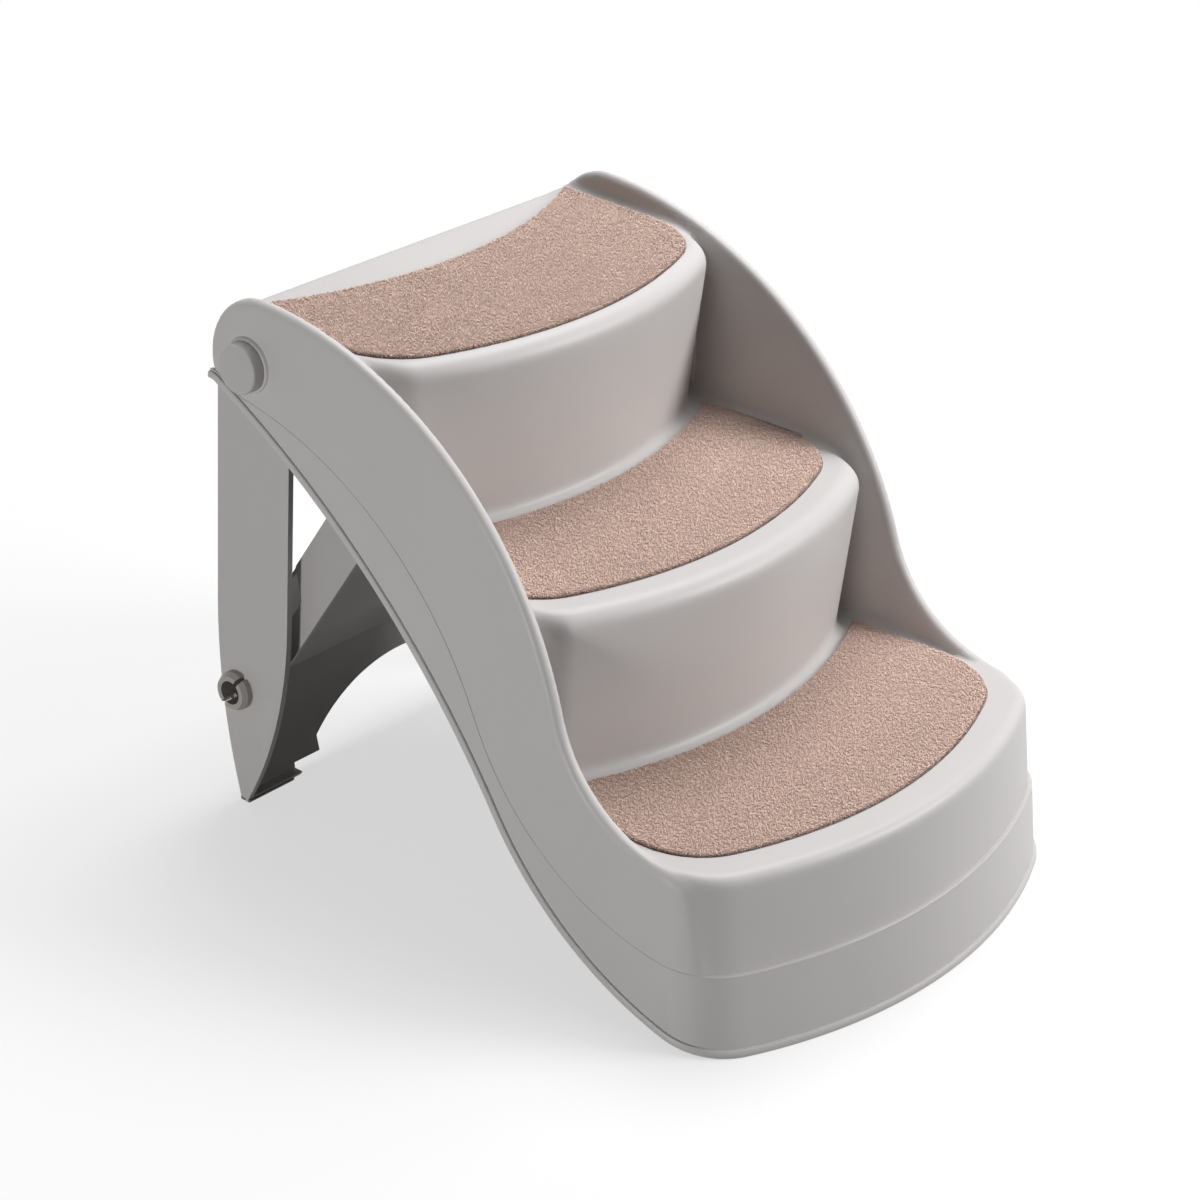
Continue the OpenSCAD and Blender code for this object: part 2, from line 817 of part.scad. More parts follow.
// side view drawn with the brace upright on its axis, then leaned forward
module brace_across(w) {
    translate([0, stub[0], stub[1]])
        rotate([brace_angle, 0, 0])
            across(w)
                children();
}
module flange_outline() {
    offset(r = leg_wall, $fn = 40)
        offset(delta = -2 * leg_wall)
            offset(r = leg_wall, $fn = 40)
                polygon([[-brace_rim_out, -leg_wall], [-brace_rim_out, brace_rim_length],
                    [brace_neck_out, brace_length], [brace_web_out, brace_length],
                    [brace_web_out, brace_shoulder], [brace_neck_out, brace_neck],
                    [brace_neck_out, -leg_wall]]);
    circle(r = brace_eye_r, $fn = 64);
}
function web_line(out) = [[brace_web_out - out, brace_length], [brace_web_out - out, web_straight],
    [web_low_out - out, web_bend], [web_low_out - out, 0],
    [web_low_out / 2 - out, -web_low_out - out]];
module web_outline() {
    polygon(concat(web_line(0), [for (k = [4 : -1 : 0]) web_line(brace_wall)[k]]));
}
module lock_brace() {
    color([0.74, 0.73, 0.72])
        difference() {
            union() {
                for (side = [-1, 1])
                    translate([side * (brace_out + brace_in) / 2, 0, 0])
                        brace_across(brace_wall)
                            flange_outline();
                brace_across(brace_out + brace_in)
                    web_outline();
            }
            for (side = [-1, 1])
                stub_place(side)
                    translate([0, 0, brace_in - brace_wall])
                        cylinder(r = bush_bore_r + brace_wall / 2 + seat_gap, h = far, $fn = 64);
        }
}
module snap_bush(side) {
    color([0.66, 0.63, 0.60])
        stub_place(side)
            difference() {
                union() {
                    translate([0, 0, brace_in])
                        cylinder(r = bush_bore_r + brace_wall / 2, h = brace_wall, $fn = 64);
                    translate([0, 0, brace_out])
                        cylinder(r = bush_r, h = leg_out + bush_out - brace_out, $fn = 64);
                    translate([0, 0, leg_out + 3 * run_gap])
                        cylinder(r = bush_lip_r, h = bush_out / 2, $fn = 64);
                    translate([0, 0, leg_out + 3 * run_gap + bush_out / 2])
                        cylinder(r1 = bush_lip_r, r2 = bush_r, h = bush_out / 2 - 3 * run_gap, $fn = 64);
                }
                translate([0, 0, brace_in])
                    cylinder(r = bush_bore_r, h = far, $fn = 64);
                translate([0, 0, leg_in])
                    rotate([0, 0, side * brace_angle])
                        translate([-bush_lip_r * 2, -slit_wide / 2, 0])
                            cube([bush_lip_r * 4, slit_wide, far]);
            }
}
module snap_bush_left() {
    snap_bush(-1);
}
module snap_bush_right() {
    snap_bush(1);
}

stair_body();
carpet_lower();
carpet_middle();
carpet_upper();
grip_strips_lower();
grip_strips_middle();
grip_strips_upper();
front_grip_pads();
hinge_pin_left();
hinge_pin_right();
hinge_screw_left();
hinge_screw_right();
hinge_washer_left();
hinge_washer_right();
rear_leg();
foot_pad_left();
foot_pad_right();
lock_brace();
snap_bush_left();
snap_bush_right();
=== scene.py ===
"""Looks of the folding pet stairs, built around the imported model."""

import math
from contextlib import contextmanager

import bmesh
import bpy
import numpy as np
from bpy.props import FloatProperty, FloatVectorProperty, IntProperty, PointerProperty, StringProperty
from mathutils import Matrix, Vector


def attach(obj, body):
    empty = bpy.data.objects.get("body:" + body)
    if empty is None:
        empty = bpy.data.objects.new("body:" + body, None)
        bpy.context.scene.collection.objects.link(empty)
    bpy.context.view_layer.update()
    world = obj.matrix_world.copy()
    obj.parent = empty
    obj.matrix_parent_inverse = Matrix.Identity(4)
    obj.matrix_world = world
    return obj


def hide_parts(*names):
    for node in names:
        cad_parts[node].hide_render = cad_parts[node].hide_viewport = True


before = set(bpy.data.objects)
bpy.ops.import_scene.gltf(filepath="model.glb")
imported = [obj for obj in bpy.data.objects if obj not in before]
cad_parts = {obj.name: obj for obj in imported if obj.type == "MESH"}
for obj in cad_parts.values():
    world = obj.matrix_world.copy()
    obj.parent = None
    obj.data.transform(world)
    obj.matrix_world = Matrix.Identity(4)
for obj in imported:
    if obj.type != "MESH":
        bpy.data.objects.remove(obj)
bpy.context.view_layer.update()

bl_info = {
    "name": "Folding pet stairs",
    "version": (1, 0, 0),
    "blender": (4, 5, 0),
    "location": "View3D > Sidebar > Pet stairs",
    "description": "Moulded body, carpets, fittings, finishes and studio of the folding pet stairs",
    "category": "Add Mesh",
}

MM = 0.001
LEFT, RIGHT = -1, 1
MERGE = 2e-6  # metres within which two corners are one
EDGE_ROUND = 0.5 * MM  # rounding of a moulded edge
HEEL_R = 44  # radius of the round at the back of a cheek, millimetres
CUTTER_RISE = 3  # how far the recess cutter stands above a tread, millimetres
SHOULDER = (0.215, 0.230)  # heights between which the leg's shoulder lies, metres
SHOULDER_LIFT = 0.084  # raises the shoulder so that the leg's edges stay straight up to the hinge, metres
FELT_IN = 0.9  # the felt ends inside the tufts of the carpet's edge, millimetres
CLUMP = 3 * MM  # width of a clump of tufts
LAMP_TARGET = Vector((0, 0, 0.2))


# Settings


class BodySizes(bpy.types.PropertyGroup):
    """Sizes of the moulded body, in millimetres, as in the construction."""

    width: FloatProperty(name="Width", description="Full width over the bottom bead", default=380)
    depth: FloatProperty(name="Depth", description="Full depth from bead to heel", default=500)
    height: FloatProperty(name="Height", description="Height to the top of the cheeks", default=380)
    wall: FloatProperty(name="Wall", description="Wall thickness of the shell", default=2.5)
    side_lean: FloatProperty(name="Side lean", description="Lean of a side wall over the height", default=13)
    front_lean: FloatProperty(
        name="Front lean", description="Lean of the front wall over the height", default=60)
    front_bow: FloatProperty(name="Front bow", description="Radius of the front seen from above", default=375)
    front_corner: FloatProperty(name="Front corner", description="Radius of the front corners", default=48)
    front_edge: FloatProperty(name="Front edge", description="Rounding of the front top edge", default=8)
    bead_height: FloatProperty(name="Bead height", description="Height of the bottom bead", default=5)
    bead_out: FloatProperty(name="Bead", description="How far the bead stands out", default=2.5)
    band_out: FloatProperty(name="Band", description="How far the lower band stands out", default=0.5)
    rim: FloatProperty(name="Rim", description="Width of the cheek rim", default=8.5)
    rim_round: FloatProperty(name="Rim rounding", description="Rounding of the cheek rim", default=4.1)
    cheek_angle: FloatProperty(
        name="Cheek angle", description="Lean of the inner cheek face, degrees", default=3)
    tread_1: FloatProperty(name="Lower tread", description="Height of the lower tread", default=120)
    tread_2: FloatProperty(name="Middle tread", description="Height of the middle tread", default=241)
    tread_3: FloatProperty(name="Upper tread", description="Height of the upper tread", default=362)
    riser_r: FloatProperty(name="Riser radius", description="Radius of the bowed risers", default=355)
    riser_2: FloatProperty(name="Middle riser", description="Front to the foot of the riser", default=179)
    riser_3: FloatProperty(name="Upper riser", description="Back to the foot of the riser", default=178)
    riser_lean: FloatProperty(name="Riser lean", description="Forward lean of a riser", default=7.5)
    nosing_r: FloatProperty(name="Nosing", description="Rounding of a step's nosing", default=14)
    step_end_r: FloatProperty(
        name="Step end", description="Rounding of a riser's end at the cheek", default=23)
    foot_r: FloatProperty(name="Foot fillet", description="Fillet at the foot of a riser", default=8)
    cell: FloatProperty(name="Mesh cell", description="Grid spacing the skin is drawn on", default=3.2)


class CarpetSizes(bpy.types.PropertyGroup):
    """Sizes of the carpets and their pile, in millimetres."""

    sunk: FloatProperty(name="Sunk", description="How far the carpet sits in its recess", default=0.2)
    backing: FloatProperty(name="Backing", description="Backing under the pile", default=2.2)
    corner_r: FloatProperty(name="Corner", description="Radius of the front corners", default=55)
    bow_r: FloatProperty(name="Bow", description="Radius of the front edge", default=345)
    recess: FloatProperty(name="Recess", description="Depth of the recess in the step", default=1.0)
    gap: FloatProperty(name="Gap", description="Gap between carpet and recess", default=0.7)
    tuft_width: FloatProperty(name="Tuft width", description="Width of one tuft at its foot", default=0.8)
    tuft_length: FloatProperty(name="Tuft length", description="Length of one tuft", default=1.8)
    tufts: IntProperty(name="Tufts", description="Tufts on each square metre", default=1150000)
    seed: IntProperty(name="Seed", description="Seed of the random lay of the tufts", default=7)


class Finishes(bpy.types.PropertyGroup):
    """Colours of the finishes, as sRGB hex values."""

    body: StringProperty(name="Body", description="Warm grey polypropylene", default="C6C3C2")
    leg: StringProperty(name="Leg", description="The leg's polypropylene", default="BFBCBA")
    brace: StringProperty(name="Brace", description="The brace's polypropylene", default="B4B1AF")
    bush: StringProperty(name="Bush", description="Acetal of the snap bushes", default="A8A39E")
    carpet: StringProperty(name="Carpet", description="Beige pile", default="F0D1C3")
    # The darker pile colour is painted shade at the tufts' feet, the darker end of their random tone, and the
    # felt backing's colour.
    carpet_deep: StringProperty(name="Carpet shade", description="Pile in its shade", default="D6B7A9")
    floor: StringProperty(name="Floor", description="Plain pale floor", default="FAFAFA")
    bounce: StringProperty(
        name="Bounce", description="Floor as the object's underside sees it", default="808080")


class StudioSizes(bpy.types.PropertyGroup):
    """Camera and light of the studio."""

    azimuth: FloatProperty(name="Azimuth", description="Camera azimuth, degrees", default=-51.14)
    elevation: FloatProperty(name="Elevation", description="Camera elevation, degrees", default=27.94)
    roll: FloatProperty(name="Roll", description="Camera roll, degrees", default=3.43)
    distance: FloatProperty(name="Distance", description="Camera distance", default=2.22338, unit="LENGTH")
    target: FloatVectorProperty(
        name="Target", description="Point in the middle of the view",
        default=(-0.04019, 0.02232, 0.18706), subtype="TRANSLATION")
    lens: FloatProperty(name="Lens", description="Focal length on a 36 mm sensor", default=101.12)


# Materials


def linear(code, level=1.0):
    """An sRGB hex value as a linear colour, made darker or lighter by a level."""
    values = [int(code[k:k + 2], 16) / 255 for k in (0, 2, 4)]
    values = [v / 12.92 if v <= 0.04045 else ((v + 0.055) / 1.055) ** 2.4 for v in values]
    return [min(1.0, level * v) for v in values] + [1.0]


def fill(tree, node, inputs):
    """Gives a node's inputs their values, or links where the value is another node's socket."""
    for name, value in inputs.items():
        if isinstance(value, bpy.types.NodeSocket):
            tree.links.new(value, node.inputs[name])
        else:
            node.inputs[name].default_value = value


def add(tree, kind, inputs=None, **settings):
    """Adds a node with its settings and inputs, and returns its outputs."""
    node = tree.nodes.new(kind)
    for name, value in settings.items():
        setattr(node, name, value)
    fill(tree, node, inputs or {})
    return node.outputs


def new_material(name):
    """A node material with its tree, its shader and its object coordinates."""
    material = bpy.data.materials.new(name)
    material.use_nodes = True
    tree = material.node_tree
    tree.nodes.clear()
    shader = tree.nodes.new("ShaderNodeBsdfPrincipled")
    fill(tree, tree.nodes.new("ShaderNodeOutputMaterial"), {"Surface": shader.outputs[0]})
    return material, tree, shader, add(tree, "ShaderNodeTexCoord")["Object"]


def direct_ray(tree):
    """One for rays of the camera, of gloss and of glass, so that all of them meet the white background."""
    path = add(tree, "ShaderNodeLightPath")
    shown = path["Is Camera Ray"]
    for ray in ("Is Glossy Ray", "Is Transmission Ray"):
        shown = add(tree, "ShaderNodeMath", {0: shown, 1: path[ray]}, operation="MAXIMUM")[0]
    return shown


def moulded_plastic(name, code, roughness=0.42):
    """Injection moulded polypropylene: a satin skin with a fine spark-eroded grain and soft flow clouds."""
    material, tree, shader, place = new_material(name)
    clouds = add(tree, "ShaderNodeTexNoise", {"Vector": place, "Scale": 1 / (60 * MM), "Detail": 3.0})["Fac"]
    tint = add(tree, "ShaderNodeMix", {
        "Factor": clouds, "A": linear(code, 0.975), "B": linear(code, 1.02)}, data_type="RGBA")
    # The real grain is about 0.1 mm wide, too fine to show in the render, so it is drawn at 0.55 mm.
    grain = add(tree, "ShaderNodeTexNoise", {"Vector": place, "Scale": 1 / (0.55 * MM), "Detail": 2.0})
    ridge = add(tree, "ShaderNodeBump", {
        "Height": grain["Fac"], "Strength": 0.12, "Distance": 0.05 * MM})
    satin = add(tree, "ShaderNodeMapRange", {
        "Value": clouds, "To Min": roughness - 0.04, "To Max": roughness + 0.05})
    fill(tree, shader, {
        "Base Color": tint["Result"], "Normal": ridge["Normal"], "Roughness": satin["Result"],
        "IOR": 1.49, "Specular IOR Level": 0.3})
    return material


def carpet_pile(name, code, deep):
    """Needle-punched carpet: dull fibres, each a little different, in faint patches, with painted shade that
    darkens each tuft towards its foot.
    """
    material, tree, shader, place = new_material(name)
    tip = add(tree, "ShaderNodeAttribute", attribute_name="tip")["Fac"]
    shade = add(tree, "ShaderNodeAttribute", attribute_name="shade")["Fac"]
    patches = add(tree, "ShaderNodeTexNoise", {"Vector": place, "Scale": 1 / (9 * MM), "Detail": 3.0})["Fac"]
    fibre = add(tree, "ShaderNodeMath", {0: shade, 1: patches}, operation="ADD")[0]
    fibre = add(tree, "ShaderNodeMapRange", {
        "Value": fibre, "From Min": 0.3, "From Max": 1.3, "To Min": 0.7, "To Max": 1.0})["Result"]
    # Painted shade: the colour runs from the pile in its shade at a tuft's foot to the lit pile at its tip,
    # over each tuft's random tone.
    level = add(tree, "ShaderNodeMath", {
        0: tip, 1: 0.25, 2: fibre}, operation="MULTIPLY_ADD", use_clamp=True)[0]
    tint = add(tree, "ShaderNodeMix", {
        "Factor": level, "A": linear(deep), "B": linear(code)}, data_type="RGBA")
    # A fibre scatters light to all sides, so its own shape counts for little in how it is lit.
    facing = add(tree, "ShaderNodeNewGeometry")["Normal"]
    soft = add(tree, "ShaderNodeVectorMath", {
        0: facing, 1: (0.25, 0.25, 0.25), 2: (0, 0, 0.8)}, operation="MULTIPLY_ADD")[0]
    soft = add(tree, "ShaderNodeVectorMath", {0: soft}, operation="NORMALIZE")[0]
    fill(tree, shader, {
        "Base Color": tint["Result"], "Normal": soft, "Roughness": 0.95, "Specular IOR Level": 0.1,
        "Sheen Weight": 0.2, "Sheen Roughness": 0.5})
    return material


def mottled(name, dark, light, size_mm, roughness):
    """A dull finish whose colour wanders between two in patches of a size."""
    material, tree, shader, place = new_material(name)
    patches = add(tree, "ShaderNodeTexNoise", {"Vector": place, "Scale": 1 / (size_mm * MM), "Detail": 4.0})
    tint = add(tree, "ShaderNodeMix", {"Factor": patches["Fac"], "A": dark, "B": light}, data_type="RGBA")
    fill(tree, shader, {"Base Color": tint["Result"], "Roughness": roughness})
    return material


def felt_backing(name, code):
    """Backing of the carpet: dense felt of the same fibre under the pile."""
    # A fibre of some hundredths of a millimetre is too fine to show, so the felt is drawn in 1.2 mm tangles.
    return mottled(name, linear(code, 0.85), linear(code), size_mm=1.2, roughness=1.0)


def rubber(name, code):
    """Moulded rubber: dull, with a faint bloom that lightens it in patches."""
    return mottled(name, linear(code), linear(code, 1.4), size_mm=6, roughness=0.78)


def zinc_steel(name):
    """Bright zinc-plated steel: grey metal with a fine crystalline mottle."""
    material, tree, shader, place = new_material(name)
    # The plating's crystals are far finer than 1.2 mm, and are drawn as coarse as they need to show.
    crystals = add(tree, "ShaderNodeTexVoronoi", {"Vector": place, "Scale": 1 / (1.2 * MM)})["Distance"]
    rough = add(tree, "ShaderNodeMapRange", {"Value": crystals, "To Min": 0.28, "To Max": 0.42})["Result"]
    fill(tree, shader, {"Base Color": linear("C9CACB"), "Metallic": 1.0, "Roughness": rough})
    return material


def woven_tape(name):
    """Hook-and-loop tape: dark nylon with a woven ground of half-millimetre threads."""
    material, tree, shader, place = new_material(name)
    weave = add(tree, "ShaderNodeTexChecker", {
        "Vector": place, "Color1": linear("3A3837"), "Color2": linear("56524F"), "Scale": 1 / (0.6 * MM)})
    fill(tree, shader, {"Base Color": weave["Color"], "Roughness": 0.9})
    return material


MATERIALS = {}


def material_of(key):
    """The material of a finish, made once."""
    finishes = bpy.context.scene.stairs_finishes
    if key not in MATERIALS:
        makers = {
            "body": lambda: moulded_plastic("Moulded polypropylene, body", finishes.body),
            "leg": lambda: moulded_plastic("Moulded polypropylene, leg", finishes.leg),
            "brace": lambda: moulded_plastic("Moulded polypropylene, brace", finishes.brace),
            "pin": lambda: moulded_plastic("Moulded nylon, pin", finishes.leg, 0.36),
            "bush": lambda: moulded_plastic("Moulded acetal, bush", finishes.bush, 0.34),
            "washer": lambda: moulded_plastic("White acetal, washer", "EFEFEC", 0.3),
            "carpet": lambda: carpet_pile("Needle-punched carpet", finishes.carpet, finishes.carpet_deep),
            "backing": lambda: felt_backing("Felt carpet backing", finishes.carpet_deep),
            "tape": lambda: woven_tape("Hook-and-loop tape"),
            "pad": lambda: rubber("Black rubber", "262626"),
            "foot": lambda: rubber("Grey rubber", "6A6866"),
            "screw": lambda: zinc_steel("Zinc-plated steel"),
        }
        MATERIALS[key] = makers[key]()
    return MATERIALS[key]


# Outlines, in millimetres


def arc(centre, radius, start, end, steps):
    """Points along an arc, from one angle to another in degrees."""
    a = np.radians(np.linspace(start, end, steps + 1))
    return np.stack([centre[0] + radius * np.cos(a), centre[1] + radius * np.sin(a)], 1)


def angle_of(vector):
    """Direction of a vector in degrees."""
    return math.degrees(math.atan2(vector[1], vector[0]))


def rising_edge(start, radius, angle, radius_2, angle_2, lift, steps=30):
    """Two tangent arcs that rise from the level at the front, lifted square to themselves."""
    turn = math.radians(angle)
    heading = np.array([math.sin(turn), -math.cos(turn)])
    centre = np.array([start[0], start[1] + radius])
    centre_2 = centre + (radius + radius_2) * heading
    return np.concatenate([
        arc(centre, radius - lift, -90, angle - 90, steps),
        arc(centre_2, radius_2 + lift, angle + 90, angle_2 + 90, steps)[1:]])


def heel_point():
    """Centre of the round at the back of a cheek."""
    size = bpy.context.scene.stairs_body
    return np.array([size.depth / 2 - HEEL_R, size.height - HEEL_R])


def rim_points():
    """Top outline of a cheek in side view, from the front to the back."""
    size = bpy.context.scene.stairs_body
    throat_r, brow_r, throat_y = 103, 286, 91
    heel = heel_point()
    throat = np.array([throat_y - size.depth / 2, size.tread_1 + throat_r])
    span = np.linalg.norm(throat - heel)
    along = (throat - heel) / span
    near = ((brow_r - HEEL_R) ** 2 - (brow_r + throat_r) ** 2 + span ** 2) / (2 * span)
    rise = math.sqrt((brow_r - HEEL_R) ** 2 - near ** 2)
    brow = heel + near * along - rise * np.array([along[1], -along[0]])
    return np.concatenate([
        arc(throat, throat_r, -90, angle_of(brow - throat), 24),
        arc(brow, brow_r, angle_of(throat - brow), angle_of(heel - brow), 60)[1:],
        arc(heel, HEEL_R, angle_of(heel - brow), -90, 36)[1:]])


def bottom_points(lift=0.0):
    """Bottom edge of the body in side view."""
    size = bpy.context.scene.stairs_body
    toe, toe_r, toe_angle, belly_r = 29.3 - size.depth / 2, 254, 53.4, 684
    back = size.depth / 2 - 5  # where the edge meets the back of the cheek
    belly = toe + (toe_r + belly_r) * math.sin(math.radians(toe_angle))
    end = math.degrees(math.asin((belly - back) / belly_r))
    return rising_edge((toe, 0), toe_r, toe_angle, belly_r, end, lift)


def crease_points():
    """Upper edge of the lower band in side view."""
    size = bpy.context.scene.stairs_body
    rise_r, rise_angle, crest_r = 199, 62.3, 280
    return rising_edge((78 - size.depth / 2, 56), rise_r, rise_angle, crest_r, 0, 0)


class Outline:
    """Signed distance to a closed outline in side view, negative inside, read from a fine grid."""

    low, reach, step = (-275.0, -25.0), (550, 430), 1.5

    def __init__(self, points):
        y, z = np.meshgrid(*(
            low + self.step * np.arange(int(reach / self.step) + 1)
            for low, reach in zip(self.low, self.reach)), indexing="ij")
        nearest = np.full(y.shape, np.inf)
        inside = np.zeros(y.shape, bool)
        for a, b in zip(points, np.roll(points, -1, axis=0)):
            side = b - a
            length = side @ side
            if length == 0:
                continue
            t = np.clip(((y - a[0]) * side[0] + (z - a[1]) * side[1]) / length, 0, 1)
            nearest = np.minimum(nearest, (y - a[0] - t * side[0]) ** 2 + (z - a[1] - t * side[1]) ** 2)
            if a[1] != b[1]:
                crossed = (a[1] > z) != (b[1] > z)
                inside ^= crossed & (y < a[0] + (z - a[1]) * side[0] / side[1])
        self.grid = np.sqrt(nearest) * np.where(inside, -1, 1)

    def __call__(self, y, z):
        u = np.clip((y - self.low[0]) / self.step, 0, self.grid.shape[0] - 1.001)
        v = np.clip((z - self.low[1]) / self.step, 0, self.grid.shape[1] - 1.001)
        i, j = u.astype(int), v.astype(int)
        u, v = u - i, v - j
        g = self.grid
        return ((1 - u) * ((1 - v) * g[i, j] + v * g[i, j + 1])
                + u * ((1 - v) * g[i + 1, j] + v * g[i + 1, j + 1]))


# Body as a solid, given by how far a point lies outside it


def round_both(a, b, radius):
    """Where two solids overlap, with a rounded outer edge."""
    return (np.minimum(np.maximum(a, b) + radius, 0)
            + np.hypot(np.maximum(a + radius, 0), np.maximum(b + radius, 0)) - radius)


def round_either(a, b, radius):
    """Two solids joined with a fillet."""
    return -round_both(-a, -b, radius)


def smooth_step(value, low, high):
    """0 below low, 1 above high, smooth between."""
    t = np.clip((value - low) / (high - low), 0, 1)
    return t * t * (3 - 2 * t)


class BodySolid:
    """The stair body as one filled solid, before its wall and its bottom edge are cut."""

    def __init__(self):
        size = self.size = bpy.context.scene.stairs_body
        self.half = size.width / 2 - size.bead_out
        self.slope = size.side_lean / size.height
        rim, heel = rim_points(), heel_point()
        far = 3 * size.depth
        # Ahead of its first arc the rim slopes down into the tread, so that no cheek stands on the front.
        ahead, under = rim[0] - (40, 12)
        self.rim = Outline(np.concatenate([[[ahead, -far], [ahead, under]], rim, [[heel[0], -far]]]))
        self.back = Outline(np.concatenate([
            [[-far, -far], [-far, far], [heel[0], far]], arc(heel, HEEL_R, 90, -90, 40), [[heel[0], -far]]]))
        bottom = bottom_points()
        self.below = Outline(np.concatenate([
            [[-far, -far], [-far, 0]], bottom, [[far, bottom[-1][1]], [far, -far]]]))
        top = rim[: np.argmax(rim[:, 1]) + 1]
        self.rim_y, self.rim_z = top[:, 0], top[:, 1]

    def half_at(self, z):
        """Half width of the outer wall at a height."""
        return self.half - self.slope * z

    def plan(self, z):
        """The outer wall seen from above at a height: half the width between the centres of its front
        corners, the bow's centre, and how far in front of it the corners' centres lie."""
        size = self.size
        w = self.half_at(z) - size.front_corner
        centre = -size.depth / 2 + size.bead_out + size.front_lean * z / size.height + size.front_bow
        return w, centre, np.sqrt((size.front_bow - size.front_corner) ** 2 - w ** 2)

    def tub(self, x, y, z):
        """The outer wall: two leaning sides, two corners and the bowed, leaning front."""
        size = self.size
        w, centre, drop = self.plan(z)
        u, v = np.abs(x) - w, y - (centre - drop)
        at_corner = (u * drop + v * w > 0) & (v < 0)
        bowed = np.hypot(x, y - centre) - (size.front_bow - size.front_corner)
        return np.where(at_corner, np.hypot(u, v), np.maximum(u, bowed)) - size.front_corner

    def cheek_face(self, y, z):
        """Distance of the inner cheek face from the middle."""
        t = math.tan(math.radians(self.size.cheek_angle))
        rim_z = np.interp(y, self.rim_y, self.rim_z)
        return self.half - self.size.rim + t * z - (t + self.slope) * rim_z

    def step(self, x, y, z, face, foot, low, high):
        """One upper step: a bowed, leaning riser with rounded ends under a rounded nosing."""
        size = self.size
        radius = size.riser_r + size.riser_lean * np.clip((z - low) / (high - low), -0.2, 1.2)
        riser = np.hypot(x, y - (foot + size.riser_r)) - radius
        # A step's end stops 1.5 mm short of the cheek at the riser, and runs well into it further back.
        end = 1.5 - face - 15.0 * smooth_step(-riser, 8, 55)
        return round_both(round_both(riser, end, size.step_end_r), z - high, size.nosing_r)

    def __call__(self, x, y, z):
        size = self.size
        tub = self.tub(x, y, z)
        face = self.cheek_face(y, z) - np.abs(x)
        cheek = round_both(face, self.rim(y, z), size.rim_round)
        steps = round_both(tub, z - size.tread_1, size.front_edge)
        for foot, low, high in (
                (size.riser_2 - size.depth / 2, size.tread_1, size.tread_2),
                (size.depth / 2 - size.riser_3, size.tread_2, size.tread_3)):
            steps = round_either(steps, self.step(x, y, z, face, foot, low, high), size.foot_r)
        # The fillet between step and cheek grows with the rim's height over the lower tread, up to 7 mm.
        height = np.interp(y, self.rim_y, self.rim_z) - size.tread_1
        joined = round_either(steps, cheek, np.clip(0.25 * height, 0.05, 7.0))
        # Behind, the cheeks end crisp and the upper step is rounded by 3 mm.
        joined = round_both(joined, self.back(y, z), 0.05 + 3 * smooth_step(face, 10, 22))
        # The outer edge is rounded like the tread at the front and like the rim along the cheeks.
        edge = size.rim_round + (size.front_edge - size.rim_round) * (1 - smooth_step(y, -175, -130))
        return round_both(tub, joined, edge)


# Meshes


def drawn_skin(field, low, high, step):
    """Quads over the surface where a field passes zero, one corner in each grid cell that it crosses."""
    axes = [np.arange(low[k], high[k] + step, step) for k in range(3)]
    x, y, z = np.meshgrid(*axes, indexing="ij")
    value = field(x, y, z)
    inside = value < 0
    cells = np.array(inside.shape) - 1
    total = np.zeros((cells.prod(), 3))
    count = np.zeros(cells.prod())
    quads = []
    for k in range(3):
        low_side = [slice(None)] * 3
        high_side = [slice(None)] * 3
        low_side[k], high_side[k] = slice(None, -1), slice(1, None)
        a, b = value[tuple(low_side)], value[tuple(high_side)]
        start_in = inside[tuple(low_side)]
        index = np.argwhere(start_in != inside[tuple(high_side)])
        here = tuple(index.T)
        t = a[here] / (a[here] - b[here])
        point = index.astype(float)
        point[:, k] += t
        ring = []
        u, v = (k + 1) % 3, (k + 2) % 3
        for du, dv in ((0, 0), (-1, 0), (-1, -1), (0, -1)):
            cell = index.copy()
            cell[:, u] += du
            cell[:, v] += dv
            ring.append(cell)
        ring = np.stack(ring, 1)
        fits = ((ring >= 0) & (ring < cells)).all(axis=(1, 2))
        ring, point, facing = ring[fits], point[fits], start_in[here][fits]
        flat = (ring[..., 0] * cells[1] + ring[..., 1]) * cells[2] + ring[..., 2]
        for corner in range(4):
            for axis in range(3):
                total[:, axis] += np.bincount(flat[:, corner], point[:, axis], cells.prod())
            count += np.bincount(flat[:, corner], minlength=cells.prod())
        quads.append(np.where(facing[:, None], flat, flat[:, ::-1]))
    quads = np.concatenate(quads)
    used, quads = np.unique(quads, return_inverse=True)
    points = np.array(low) + step * total[used] / count[used][:, None]
    return points, quads.reshape(-1, 4)


def slope_of(field, p, reach=0.05):
    """Value and gradient of a field at points."""
    value = field(*p.T)
    rise = np.stack([
        (field(*(p + reach * e).T) - field(*(p - reach * e).T)) / (2 * reach) for e in np.eye(3)], 1)
    return value, rise


def settled(points, quads, field, cut, rounds=6):
    """Relaxes the skin and lays it exactly on the surface. Its open edge stays on the cut."""
    ends = np.concatenate([quads[:, [k, (k + 1) % 4]] for k in range(4)])
    ends = np.sort(ends, axis=1)
    ends, uses = np.unique(ends, axis=0, return_counts=True)
    edge = ends[uses == 1]
    on_edge = np.zeros(len(points), bool)
    on_edge[edge] = True
    for turn in range(rounds):
        for pairs, free in ((ends, ~on_edge), (edge, on_edge)):
            total = np.zeros_like(points)
            count = np.zeros(len(points))
            for a, b in ((0, 1), (1, 0)):
                for axis in range(3):
                    total[:, axis] += np.bincount(pairs[:, a], points[pairs[:, b], axis], len(points))
                count += np.bincount(pairs[:, a], minlength=len(points))
            share = 0.5 if turn < rounds - 1 else 0.0
            mean = total[free] / count[free][:, None]
            points[free] += share * (mean - points[free])
        # Two steps towards the surface, in which no point moves more than a few millimetres.
        for _ in range(2):
            value, rise = slope_of(field, points)
            points -= np.clip(value / np.maximum((rise ** 2).sum(1), 0.2), -2, 2)[:, None] * rise
            value, rise = slope_of(cut, points[on_edge])
            points[on_edge] -= np.clip(value, -4, 4)[:, None] * rise
    return points


